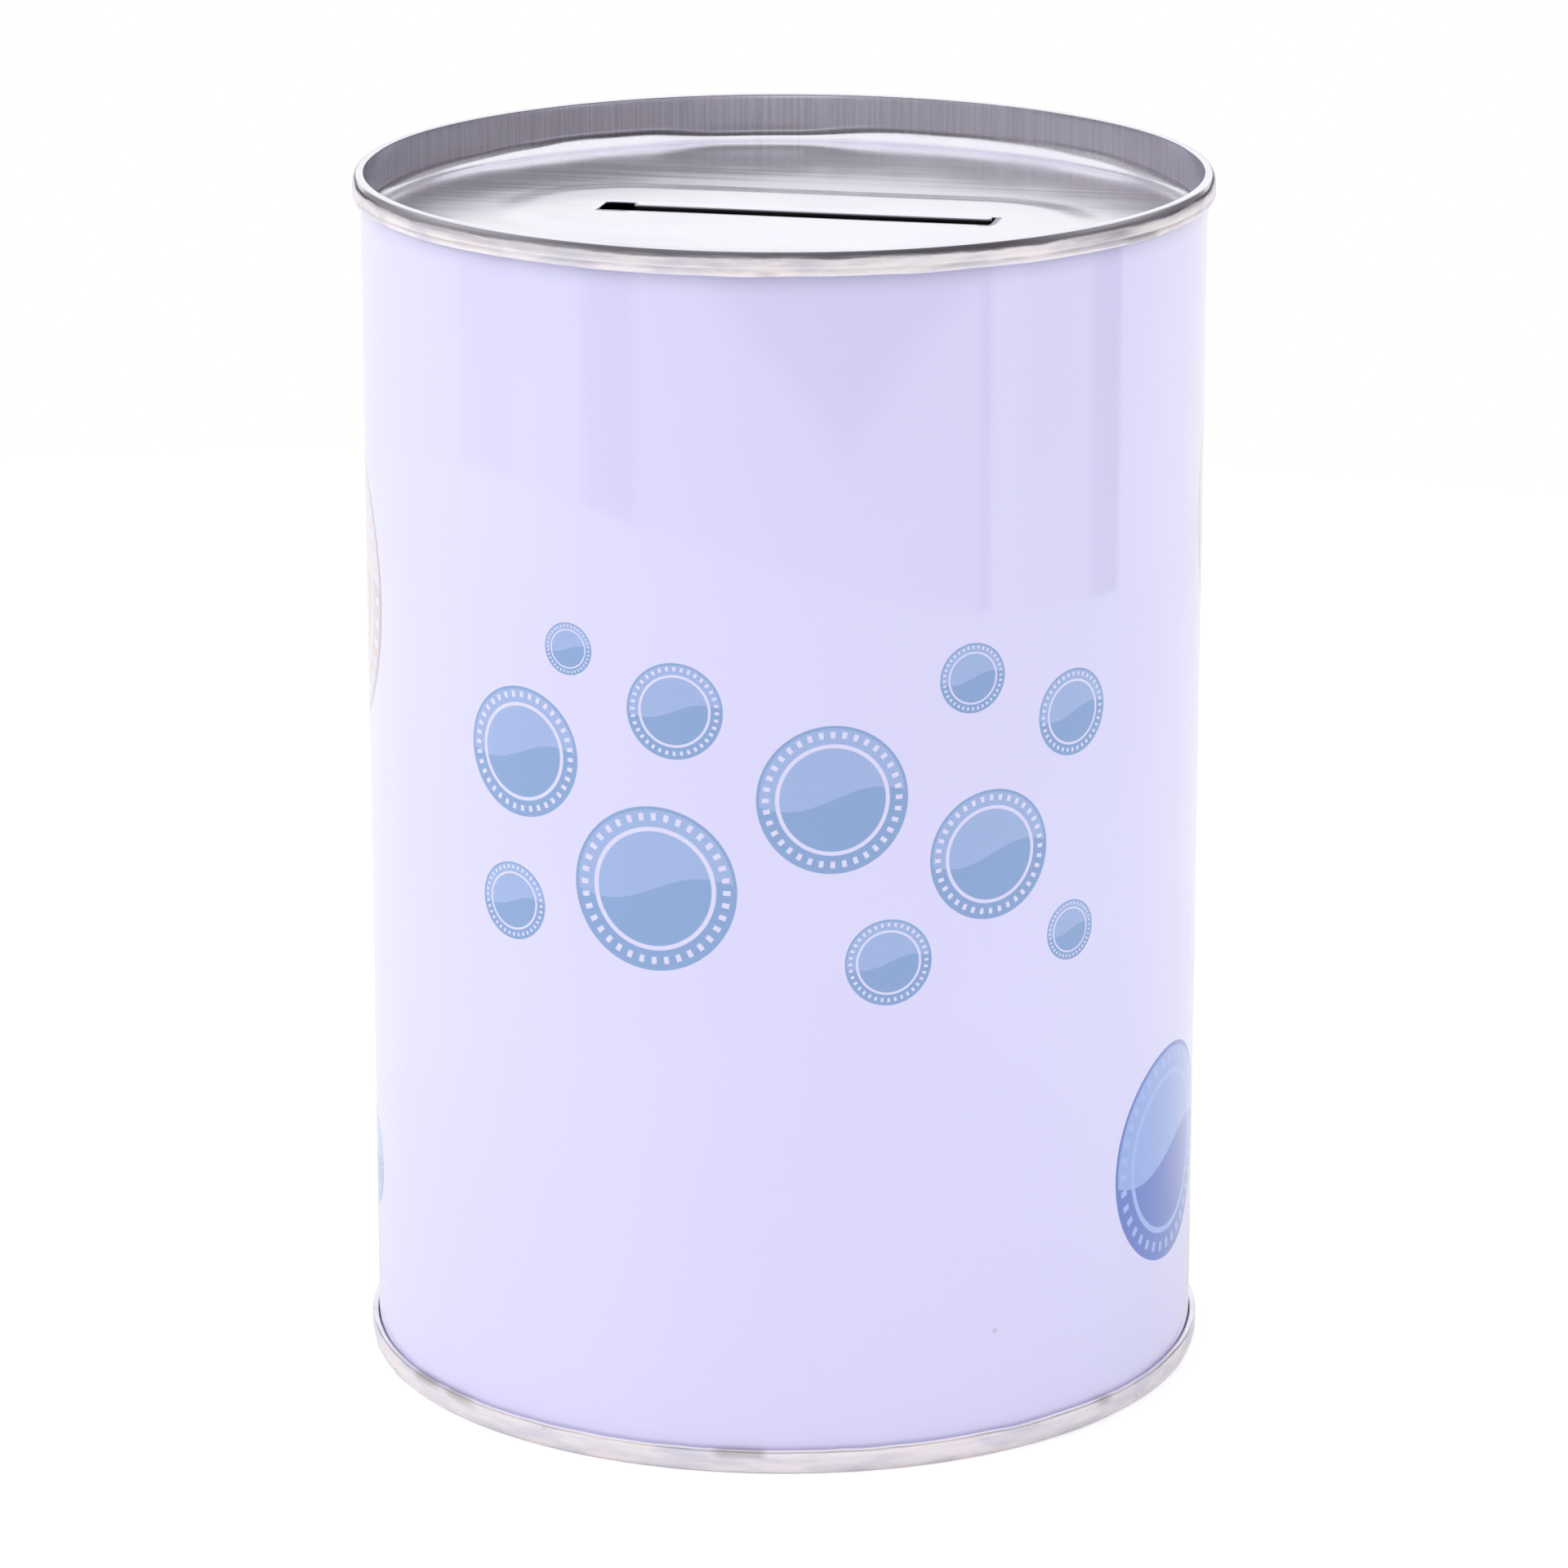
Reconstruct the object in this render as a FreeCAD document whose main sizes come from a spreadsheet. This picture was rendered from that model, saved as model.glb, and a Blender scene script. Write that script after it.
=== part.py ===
import FreeCAD, Part
import math
import operator
import os
from collections import namedtuple
from types import SimpleNamespace

import Sketcher

# Sealed tin money box: a rolled and side-welded tinplate body closed by two double-seamed ends,
# with a coin slot in the raised oblong of the top end. Origin at the centre of the base ring,
# +Z up, X along the coin slot, millimetres.

DRIVING_SIZES = [
    ("plate", 0.20, "thickness of the tinplate"),
    ("film", 0.09, "gap between two folded layers of a seam"),
    ("bore", 99.0, "inside diameter of the body"),
    ("tin_height", 144.0, "height over both seams"),
    ("seam_height", 3.0, "height of a double seam"),
    ("crest_radius", 0.45, "outside corner radius of a seam's crest"),
    ("crest_flat", 0.15, "width of the flat ring on a crest, which the tin stands on"),
    ("shoulder_radius", 2.4, "outside radius of the shoulder between a crest and the seam's face"),
    ("shoulder_drop", 1.52, "crest down to where the shoulder ends"),
    ("crest_room", 0.55, "room for the compound under a crest"),
    ("body_hook", 1.85, "length of the hook folded from the body"),
    ("cover_hook", 1.9, "length of the hook folded from an end"),
    ("compound_width", 0.44, "width of a ring of sealing compound"),
    ("compound_gap", 0.05, "gap above and below the compound"),
    ("compound_round", 0.06, "edge radius of the compound"),
    ("top_depth", 5.7, "crest of the top seam down to the panel"),
    ("top_sink_radius", 1.6, "bend from the top end's wall to its panel"),
    ("oblong_offset", 1.5, "oblong and slot off the axis, along X"),
    ("oblong_straight", 40.7, "straight length of the raised oblong"),
    ("oblong_foot_radius", 16.0, "end radius at the foot of the oblong"),
    ("oblong_top_radius", 11.3, "end radius at the top of the oblong"),
    ("oblong_rise", 0.22, "height of the raised oblong"),
    ("slot_length", 47.0, "length of the coin slot"),
    ("slot_corner", 0.6, "corner radius of the coin slot"),
    ("lip_gap", 4.12, "clear width between the turned-down lips"),
    ("lip_length", 43.0, "length of a lip"),
    ("lip_shift", 1.4, "middle of the lips off the middle of the slot, along X"),
    ("lip_depth", 1.1, "depth of a lip below the oblong"),
    ("lip_radius", 0.5, "outside bend radius of a lip"),
    ("base_depth", 5.0, "crest of the bottom seam to the nearest panel"),
    ("base_sink_radius", 1.3, "bend from the bottom end's wall to its panel"),
    ("bead_radius", 0.9, "bend radius of the expansion steps"),
    ("bead_run", 1.9, "distance across an expansion step between its bend centres"),
    ("bead_rise", 0.8, "height of an expansion step"),
    ("inner_step_radius", 33.0, "radius of the inner expansion step"),
    ("outer_step_radius", 41.5, "radius of the outer expansion step"),
    ("weld_width", 1.2, "width of the side weld"),
    ("weld_outside", 0.06, "side weld proud of the outside"),
    ("weld_inside", 0.04, "side weld proud of the inside"),
    ("weld_clearance", 0.4, "side weld short of the seams"),
    ("front_turn", 12.3, "middle of the printed front, turned about Z from the slot's front"),
]

OUT = 0
UP = 90
SLOPING_DOWN = -60
DOWN = -90
UP_AGAIN = -270

Turn = namedtuple("Turn", "centre_r centre_z radius heading_in heading_out")


class Size:
    """A number together with the spreadsheet formula that it comes from."""

    def __init__(self, value, formula):
        self.value = value
        self.formula = formula

    def joined(self, other, sign, work):
        right = other if isinstance(other, Size) else Size(other, str(other))
        return Size(work(self.value, right.value), f"({self.formula} {sign} {right.formula})")

    def __add__(self, other):
        return self.joined(other, "+", operator.add)

    def __sub__(self, other):
        return self.joined(other, "-", operator.sub)

    def __mul__(self, other):
        return self.joined(other, "*", operator.mul)

    def __truediv__(self, other):
        return self.joined(other, "/", operator.truediv)


doc = FreeCAD.newDocument("TinMoneyBox")
sheet = doc.addObject("Spreadsheet::Sheet", "Sizes")
dim = SimpleNamespace()
for row, (alias, number, meaning) in enumerate(DRIVING_SIZES, start=1):
    sheet.set(f"A{row}", meaning)
    sheet.set(f"B{row}", str(number))
    sheet.setAlias(f"B{row}", alias)
    setattr(dim, alias, Size(number, f"Sizes.{alias}"))
doc.recompute()

# Radii through a seam, from the end's wall out to the seam's outer face.
layer_pitch = dim.plate + dim.film
wall_inside = dim.bore / 2
wall_outside = wall_inside + dim.plate
chuck_face = wall_inside - layer_pitch
seam_outside = wall_inside + layer_pitch * 3 + dim.plate
fold_radius = layer_pitch + dim.plate / 2

# Heights of the top seam. The bottom seam is the same, turned over.
crest = dim.tin_height
seam_foot = crest - dim.seam_height
curl_top = crest - dim.plate - dim.crest_room

# Heights of the top end's panel and of the raised oblong.
top_panel = crest - dim.top_depth
oblong_top = top_panel + dim.oblong_rise


def new_body(label):
    """An empty body for one piece of the tin."""
    body = doc.addObject("PartDesign::Body", label)
    body.Label = label
    return body


def turn_over(body):
    """Turn a piece modelled at the top of the tin over to the bottom."""
    over = FreeCAD.Rotation(FreeCAD.Vector(1, 0, 0), 180)
    body.Placement = FreeCAD.Placement(FreeCAD.Vector(0, 0, crest.value), over)
    body.setExpression("Placement.Base.z", crest.formula)


def new_sketch(body, name, role, lift=None):
    """A sketch on one of the body's own planes, moved along the plane's normal by lift."""
    plane = next(item for item in body.Origin.OriginFeatures if item.Role == role)
    sketch = body.newObject("Sketcher::SketchObject", f"{body.Label}_{name}")
    sketch.AttachmentSupport = [(plane, "")]
    sketch.MapMode = "FlatFace"
    if lift is not None:
        sketch.setExpression("AttachmentOffset.Base.z", lift.formula)
    return sketch


def new_feature(body, kind, name, sketch):
    """A PartDesign feature of the body, made from the sketch."""
    feature = body.newObject(f"PartDesign::{kind}", f"{body.Label}_{name}")
    feature.Profile = sketch
    return feature


def relate(sketch, kind, *places):
    """Add a constraint without a size."""
    sketch.addConstraint(Sketcher.Constraint(kind, *places))


def measure(sketch, kind, *places, size):
    """Add a constraint whose size is bound to the spreadsheet."""
    index = sketch.addConstraint(Sketcher.Constraint(kind, *places, size.value))
    sketch.setExpression(f"Constraints[{index}]", size.formula)


ORIGIN = (-1, 1)
ACROSS_AXIS = -1
UP_AXIS = -2
START = 1
END = 2
CENTRE = 3


def place_point(sketch, geometry, point, across, up):
    """Fix a point of the sketch by its distances from the origin."""
    measure(sketch, "DistanceX", *ORIGIN, geometry, point, size=across)
    measure(sketch, "DistanceY", *ORIGIN, geometry, point, size=up)


def add_line(sketch, first, last):
    return sketch.addGeometry(Part.LineSegment(FreeCAD.Vector(*first), FreeCAD.Vector(*last)))


def add_arc(sketch, centre, radius, first_angle, last_angle):
    circle = Part.Circle(FreeCAD.Vector(*centre), FreeCAD.Vector(0, 0, 1), radius)
    arc = Part.ArcOfCircle(circle, math.radians(first_angle), math.radians(last_angle))
    return sketch.addGeometry(arc)


def is_clockwise(turn):
    return turn.heading_out < turn.heading_in


def point_on_turn(turn, radius, heading):
    """Where a walk round the turn faces the given heading."""
    side = 90 if is_clockwise(turn) else -90
    angle = math.radians(heading + side)
    return (turn.centre_r.value + radius * math.cos(angle),
            turn.centre_z.value + radius * math.sin(angle), 0)


def draw_side(sketch, turns, radii, first_point, last_point):
    """Draw one side of a folded plate: lines joined by tangent arcs. Returns the two lists."""
    corners = [first_point]
    arcs = []
    for turn, radius in zip(turns, radii):
        corners.append(point_on_turn(turn, radius.value, turn.heading_in))
        corners.append(point_on_turn(turn, radius.value, turn.heading_out))
        centre = (turn.centre_r.value, turn.centre_z.value, 0)
        if is_clockwise(turn):
            arcs.append(add_arc(sketch, centre, radius.value, turn.heading_out + 90, turn.heading_in + 90))
        else:
            arcs.append(add_arc(sketch, centre, radius.value, turn.heading_in - 90, turn.heading_out - 90))
    corners.append(last_point)
    lines = [add_line(sketch, *corners[i:i + 2]) for i in range(0, len(corners), 2)]
    for place, turn in enumerate(turns):
        enter, leave = (END, START) if is_clockwise(turn) else (START, END)
        relate(sketch, "Tangent", lines[place], END, arcs[place], enter)
        relate(sketch, "Tangent", arcs[place], leave, lines[place + 1], START)
        measure(sketch, "Radius", arcs[place], size=radii[place])
    return lines, arcs


def draw_folded_plate(sketch, turns, last_height, first_height=None):
    """Close a section of plate along a walk through the turns, one plate thick to its right.

    The walk starts at first_height, or on the axis of the tin where that is left out,
    and ends upright at last_height.
    """
    outer = [turn.radius for turn in turns]
    inner = [turn.radius - dim.plate if is_clockwise(turn) else turn.radius + dim.plate for turn in turns]
    sides = []
    for radii in (outer, inner):
        enter = point_on_turn(turns[0], radii[0].value, turns[0].heading_in)
        leave = point_on_turn(turns[-1], radii[-1].value, turns[-1].heading_out)
        first = (0, enter[1], 0) if first_height is None else (enter[0], first_height.value, 0)
        last = (leave[0], last_height.value, 0)
        sides.append((draw_side(sketch, turns, radii, first, last), first, last))
    (lines, arcs), first, last = sides[0]
    (back_lines, back_arcs), back_first, back_last = sides[1]
    for turn, arc, back_arc in zip(turns, arcs, back_arcs):
        place_point(sketch, arc, CENTRE, turn.centre_r, turn.centre_z)
        relate(sketch, "Coincident", arc, CENTRE, back_arc, CENTRE)
    first_cap = add_line(sketch, first, back_first)
    last_cap = add_line(sketch, last, back_last)
    for cap, near, far, point in (
        (first_cap, lines[0], back_lines[0], START),
        (last_cap, lines[-1], back_lines[-1], END),
    ):
        relate(sketch, "Coincident", cap, START, near, point)
        relate(sketch, "Coincident", cap, END, far, point)
    if first_height is None:
        relate(sketch, "Horizontal", lines[0])
        relate(sketch, "Horizontal", back_lines[0])
        relate(sketch, "PointOnObject", lines[0], START, UP_AXIS)
        relate(sketch, "PointOnObject", back_lines[0], START, UP_AXIS)
    else:
        relate(sketch, "Vertical", lines[0])
        relate(sketch, "Vertical", back_lines[0])
        relate(sketch, "Horizontal", first_cap)
        measure(sketch, "DistanceY", *ORIGIN, lines[0], START, size=first_height)
    relate(sketch, "Vertical", lines[-1])
    relate(sketch, "Vertical", back_lines[-1])
    relate(sketch, "Horizontal", last_cap)
    measure(sketch, "DistanceY", *ORIGIN, lines[-1], END, size=last_height)


def spin(body, sketch):
    """Revolve a section once round the axis of the tin."""
    feature = new_feature(body, "Revolution", "turned", sketch)
    feature.ReferenceAxis = (sketch, ["V_Axis"])
    feature.Angle = 360
    return feature


def draw_oblong(sketch, end_radius):
    """A long oval with round ends, about the middle of the coin slot."""
    middle = dim.oblong_offset
    half = dim.oblong_straight / 2
    left = middle.value - half.value
    right = middle.value + half.value
    reach = end_radius.value
    right_arc = add_arc(sketch, (right, 0, 0), reach, -90, 90)
    top_line = add_line(sketch, (right, reach, 0), (left, reach, 0))
    left_arc = add_arc(sketch, (left, 0, 0), reach, 90, 270)
    bottom_line = add_line(sketch, (left, -reach, 0), (right, -reach, 0))
    ring = [right_arc, top_line, left_arc, bottom_line]
    for here, following in zip(ring, ring[1:] + ring[:1]):
        relate(sketch, "Tangent", here, END, following, START)
    for arc in (right_arc, left_arc):
        relate(sketch, "PointOnObject", arc, CENTRE, ACROSS_AXIS)
    relate(sketch, "Equal", right_arc, left_arc)
    measure(sketch, "Radius", right_arc, size=end_radius)
    measure(sketch, "DistanceX", *ORIGIN, right_arc, CENTRE, size=middle + half)
    measure(sketch, "DistanceX", left_arc, CENTRE, right_arc, CENTRE, size=dim.oblong_straight)


def loft_oblong(body, kind, name, foot_height, top_height):
    """Raise or hollow the panel between the oblong's foot and its smaller top."""
    foot = new_sketch(body, f"{name}_foot", "XY_Plane", foot_height)
    draw_oblong(foot, dim.oblong_foot_radius)
    top = new_sketch(body, f"{name}_top", "XY_Plane", top_height)
    draw_oblong(top, dim.oblong_top_radius)
    loft = new_feature(body, kind, name, foot)
    loft.Sections = [top]
    loft.Ruled = True


def draw_round_box(sketch, middle, half_across, half_up, corner, height=None):
    """A rectangle with round corners about (middle, height), or about (middle, 0)."""
    reach_across = half_across - corner
    reach_up = half_up - corner
    right = middle + reach_across
    top = reach_up if height is None else height + reach_up
    far, high = right.value, top.value
    near = far - 2 * reach_across.value
    low = high - 2 * reach_up.value
    centres = [(far, high, 0), (near, high, 0), (near, low, 0), (far, low, 0)]
    arcs = []
    for quarter, centre in enumerate(centres):
        arcs.append(add_arc(sketch, centre, corner.value, 90 * quarter, 90 * quarter + 90))
    for place, (here, following) in enumerate(zip(arcs, arcs[1:] + arcs[:1])):
        line = add_line(sketch, sketch.getPoint(here, END), sketch.getPoint(following, START))
        relate(sketch, "Tangent", here, END, line, START)
        relate(sketch, "Tangent", line, END, following, START)
        relate(sketch, "Horizontal" if place % 2 == 0 else "Vertical", here, CENTRE, following, CENTRE)
    for arc in arcs[1:]:
        relate(sketch, "Equal", arcs[0], arc)
    measure(sketch, "Radius", arcs[0], size=corner)
    measure(sketch, "DistanceX", arcs[1], CENTRE, arcs[0], CENTRE, size=reach_across * 2)
    measure(sketch, "DistanceY", arcs[3], CENTRE, arcs[0], CENTRE, size=reach_up * 2)
    place_point(sketch, arcs[0], CENTRE, right, top)


def seam_turns():
    """Turns of an end's plate over the crest of its seam and under its cover hook."""
    crest_height = crest - dim.crest_radius
    inner_corner = chuck_face + dim.crest_radius
    shoulder_centre = seam_outside - dim.shoulder_radius
    shoulder_end = crest - dim.shoulder_drop
    return [
        Turn(inner_corner, crest_height, dim.crest_radius, UP, OUT),
        Turn(inner_corner + dim.crest_flat, crest_height, dim.crest_radius, OUT, SLOPING_DOWN),
        Turn(shoulder_centre, shoulder_end, dim.shoulder_radius, SLOPING_DOWN, DOWN),
        Turn(seam_outside - fold_radius, seam_foot + fold_radius, fold_radius, DOWN, UP_AGAIN),
    ]


def sink_turn(panel, bend):
    """Turn from an end's panel up into its wall."""
    return Turn(chuck_face - bend, panel + bend, bend, OUT, UP)


def make_can_body():
    """Rolled body: upright wall, a hook folded outwards at each end, and the side weld."""
    body = new_body("can_body")
    fold_centre = wall_inside + fold_radius
    low_curl = dim.plate + dim.crest_room
    walk = [
        Turn(fold_centre, low_curl + fold_radius, fold_radius, DOWN, UP_AGAIN),
        Turn(fold_centre, curl_top - fold_radius, fold_radius, UP, DOWN),
    ]
    section = new_sketch(body, "section", "XZ_Plane")
    draw_folded_plate(section, walk, curl_top - dim.body_hook, low_curl + dim.body_hook)
    spin(body, section)

    weld_foot = dim.seam_height + dim.weld_clearance
    weld_section = new_sketch(body, "weld_section", "XY_Plane", weld_foot)
    weld_section.setExpression("AttachmentOffset.Rotation.Angle", dim.front_turn.formula)
    half_width = dim.weld_width.value / 2
    near = (wall_inside - dim.weld_inside).value
    far = (wall_outside + dim.weld_outside).value
    corners = [(-half_width, near, 0), (half_width, near, 0), (half_width, far, 0), (-half_width, far, 0)]
    edges = [add_line(weld_section, a, b) for a, b in zip(corners, corners[1:] + corners[:1])]
    for here, following in zip(edges, edges[1:] + edges[:1]):
        relate(weld_section, "Coincident", here, END, following, START)
    for flat in (edges[0], edges[2]):
        relate(weld_section, "Horizontal", flat)
    for upright in (edges[1], edges[3]):
        relate(weld_section, "Vertical", upright)
    measure(weld_section, "DistanceX", *ORIGIN, edges[0], END, size=dim.weld_width / 2)
    measure(weld_section, "DistanceX", edges[0], START, edges[0], END, size=dim.weld_width)
    measure(weld_section, "DistanceY", *ORIGIN, edges[0], END, size=wall_inside - dim.weld_inside)
    measure(weld_section, "DistanceY", *ORIGIN, edges[1], END, size=wall_outside + dim.weld_outside)
    weld = new_feature(body, "Pad", "weld", weld_section)
    weld.setExpression("Length", (dim.tin_height - weld_foot * 2).formula)
    return body


def make_top_end():
    """Slotted end: seam, sunk panel, raised oblong and a coin slot with turned-down lips."""
    body = new_body("top_end")
    section = new_sketch(body, "section", "XZ_Plane")
    walk = [sink_turn(top_panel, dim.top_sink_radius)] + seam_turns()
    draw_folded_plate(section, walk, seam_foot + dim.cover_hook)
    spin(body, section)

    loft_oblong(body, "AdditiveLoft", "oblong_raised", top_panel, oblong_top)
    loft_oblong(body, "SubtractiveLoft", "oblong_hollow", top_panel - dim.plate, oblong_top - dim.plate)

    slot_half_width = dim.lip_gap / 2 + dim.lip_radius
    slot_outline = new_sketch(body, "slot_outline", "XY_Plane", oblong_top)
    draw_round_box(slot_outline, dim.oblong_offset, dim.slot_length / 2, slot_half_width, dim.slot_corner)
    slot = new_feature(body, "Pocket", "slot", slot_outline)
    slot.setExpression("Length", (dim.plate * 2).formula)

    lip_section = new_sketch(body, "lip_section", "YZ_Plane", dim.oblong_offset + dim.lip_shift)
    draw_lip(lip_section, slot_half_width)
    lip = new_feature(body, "Pad", "lip", lip_section)
    lip.SideType = "Symmetric"
    lip.setExpression("Length", dim.lip_length.formula)
    doc.recompute()
    other_lip = body.newObject("PartDesign::Mirrored", "top_end_other_lip")
    other_lip.Originals = [lip]
    other_lip.MirrorPlane = (next(p for p in body.Origin.OriginFeatures if p.Role == "XZ_Plane"), [""])
    body.Tip = other_lip
    return body


def draw_lip(sketch, slot_half_width):
    """Section of one slot lip: a quarter bend from the oblong's plate and a short leg down."""
    bend_height = oblong_top - dim.lip_radius
    inner_radius = dim.lip_radius - dim.plate
    foot_height = oblong_top - dim.lip_depth
    plate_edge = slot_half_width.value
    lip_face = plate_edge - dim.lip_radius.value
    lip_back = plate_edge - inner_radius.value
    bend_centre = (plate_edge, bend_height.value, 0)
    outer_arc = add_arc(sketch, bend_centre, dim.lip_radius.value, 90, 180)
    inner_arc = add_arc(sketch, bend_centre, inner_radius.value, 90, 180)
    outer_leg = add_line(sketch, (lip_face, bend_height.value, 0), (lip_face, foot_height.value, 0))
    foot = add_line(sketch, (lip_face, foot_height.value, 0), (lip_back, foot_height.value, 0))
    inner_leg = add_line(sketch, (lip_back, foot_height.value, 0), (lip_back, bend_height.value, 0))
    joint = add_line(sketch, sketch.getPoint(inner_arc, START), sketch.getPoint(outer_arc, START))
    place_point(sketch, outer_arc, CENTRE, slot_half_width, bend_height)
    measure(sketch, "Radius", outer_arc, size=dim.lip_radius)
    measure(sketch, "Radius", inner_arc, size=inner_radius)
    measure(sketch, "DistanceY", *ORIGIN, foot, START, size=foot_height)
    relate(sketch, "Coincident", inner_arc, CENTRE, outer_arc, CENTRE)
    relate(sketch, "Tangent", outer_arc, END, outer_leg, START)
    relate(sketch, "Coincident", outer_leg, END, foot, START)
    relate(sketch, "Coincident", foot, END, inner_leg, START)
    relate(sketch, "Tangent", inner_leg, END, inner_arc, END)
    relate(sketch, "Coincident", inner_arc, START, joint, START)
    relate(sketch, "Coincident", joint, END, outer_arc, START)
    relate(sketch, "Horizontal", foot)
    for upright in (outer_leg, inner_leg, joint):
        relate(sketch, "Vertical", upright)
    relate(sketch, "Vertical", outer_arc, CENTRE, outer_arc, START)


def expansion_step(radius, lower, heading):
    """Two turns that carry a panel one step up (heading 45) or down (heading -45) near a radius."""
    upper = lower + dim.bead_rise
    inside = radius - dim.bead_run / 2
    outside = radius + dim.bead_run / 2
    valley = lower + dim.bead_radius
    hill = upper - dim.bead_radius
    if heading > 0:
        return [Turn(inside, valley, dim.bead_radius, OUT, heading),
                Turn(outside, hill, dim.bead_radius, heading, OUT)]
    return [Turn(inside, hill, dim.bead_radius, OUT, heading),
            Turn(outside, valley, dim.bead_radius, heading, OUT)]


def make_bottom_end():
    """Plain end: seam, sunk panel and a raised expansion ring, turned over to the bottom."""
    body = new_body("bottom_end")
    panel = crest - dim.base_depth - dim.bead_rise
    step_heading = 45
    walk = expansion_step(dim.inner_step_radius, panel, step_heading)
    walk += expansion_step(dim.outer_step_radius, panel, -step_heading)
    walk += [sink_turn(panel, dim.base_sink_radius)]
    walk += seam_turns()
    section = new_sketch(body, "section", "XZ_Plane")
    draw_folded_plate(section, walk, seam_foot + dim.cover_hook)
    spin(body, section)
    turn_over(body)
    return body


def make_seam_compound(label):
    """Ring of sealing compound squeezed between the crest of a seam and the body's curl."""
    body = new_body(label)
    section = new_sketch(body, "section", "XZ_Plane")
    middle = chuck_face + dim.crest_radius + dim.crest_flat / 2
    height = curl_top + dim.crest_room / 2
    half_thickness = dim.crest_room / 2 - dim.compound_gap
    draw_round_box(section, middle, dim.compound_width / 2, half_thickness, dim.compound_round, height)
    spin(body, section)
    return body


def check_document(nodes):
    """Stop unless every object is up to date and every piece is one valid solid."""
    for item in doc.Objects:
        if "Invalid" in item.State or "Error" in item.State:
            raise RuntimeError(f"{item.Name} failed: {item.State}")
    for node in nodes:
        shape = node.Shape
        if shape.isNull() or not shape.isValid() or len(shape.Solids) != 1:
            raise RuntimeError(f"{node.Label} is not one valid solid")
        print(node.Label, "volume", round(shape.Volume, 2), "mm3, box", shape.BoundBox)


can_body = make_can_body()
top_end = make_top_end()
bottom_end = make_bottom_end()
top_seam_compound = make_seam_compound("top_seam_compound")
bottom_seam_compound = make_seam_compound("bottom_seam_compound")
turn_over(bottom_seam_compound)
doc.recompute()

pieces = [can_body, top_end, bottom_end, top_seam_compound, bottom_seam_compound]
check_document(pieces)
os.makedirs("parts", exist_ok=True)
for piece in pieces:
    piece.Shape.exportStep(f"parts/{piece.Label}.step")
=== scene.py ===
"""Looks of a tin money box: a printed body rolled from tinplate between two seamed tin ends."""

import math

import bmesh
import bpy
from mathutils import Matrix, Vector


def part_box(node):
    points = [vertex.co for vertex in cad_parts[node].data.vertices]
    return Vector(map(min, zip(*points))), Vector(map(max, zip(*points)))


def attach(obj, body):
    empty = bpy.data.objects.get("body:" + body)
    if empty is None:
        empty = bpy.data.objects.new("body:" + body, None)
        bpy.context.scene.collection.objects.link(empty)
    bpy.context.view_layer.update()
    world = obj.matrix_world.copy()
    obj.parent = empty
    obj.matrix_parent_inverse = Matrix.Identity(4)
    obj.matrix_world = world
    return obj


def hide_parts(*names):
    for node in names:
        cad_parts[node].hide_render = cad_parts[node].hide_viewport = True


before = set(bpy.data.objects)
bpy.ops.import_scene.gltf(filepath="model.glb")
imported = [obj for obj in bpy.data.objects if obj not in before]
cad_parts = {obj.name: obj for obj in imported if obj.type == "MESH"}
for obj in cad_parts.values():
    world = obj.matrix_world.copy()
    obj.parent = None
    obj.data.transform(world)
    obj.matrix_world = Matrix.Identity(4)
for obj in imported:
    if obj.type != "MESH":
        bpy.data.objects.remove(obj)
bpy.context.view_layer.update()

from bl_math import clamp, lerp, smoothstep
from bmesh.types import BMEdge, BMVert
from mathutils import Color, Matrix, Vector, noise

bl_info = {
    "name": "Tin money box",
    "version": (1, 0, 0),
    "blender": (4, 5, 0),
    "location": "3D View > Sidebar > Money Box",
    "description": "Builds the looks of a tin money box around its packed frame",
    "category": "Object",
}

ROUNDING_ROOM = 0.0000002

MM = 0.001
MERGE_GAP = 0.0001 * MM
RING_STEPS = 256
WELD_STEPS = 12
BEND_STEPS = 6
UP = Vector((0.0, 0.0, 1.0))
MIDDLE = (0.0, 0.0, 0.0)

TOP_LOW, TOP_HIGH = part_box("top_end")
BODY_LOW, BODY_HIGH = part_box("can_body")
SEAM_RADIUS = min(TOP_HIGH.x, TOP_HIGH.y, -TOP_LOW.x, -TOP_LOW.y)


def number(name, description, default, **kind):
    """A number for the panel."""
    return bpy.props.FloatProperty(name=name, description=description, default=default, **kind)


def size(name, description, default):
    """A size in metres."""
    return number(name, description, default, unit="LENGTH", subtype="DISTANCE", precision=5)


def angle(name, description, degrees):
    """An angle, kept in radians."""
    return number(name, description, math.radians(degrees), unit="ROTATION", subtype="ANGLE")


def share(name, description, default):
    """A number from 0 to 1."""
    return number(name, description, default, min=0.0, max=1.0, subtype="FACTOR")


def level(name, description, default):
    """A brightness, where 1 is white."""
    return number(name, description, default, min=0.0)


def paint(name, description, *written):
    """A colour for the panel; its red, green and blue are written as on a screen, from 0 to 255."""
    light = Color([part / 255.0 for part in written]).from_srgb_to_scene_linear()
    return bpy.props.FloatVectorProperty(
        name=name, description=description, default=(*light, 1.0), size=4, min=0.0, max=1.0, subtype="COLOR"
    )


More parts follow.
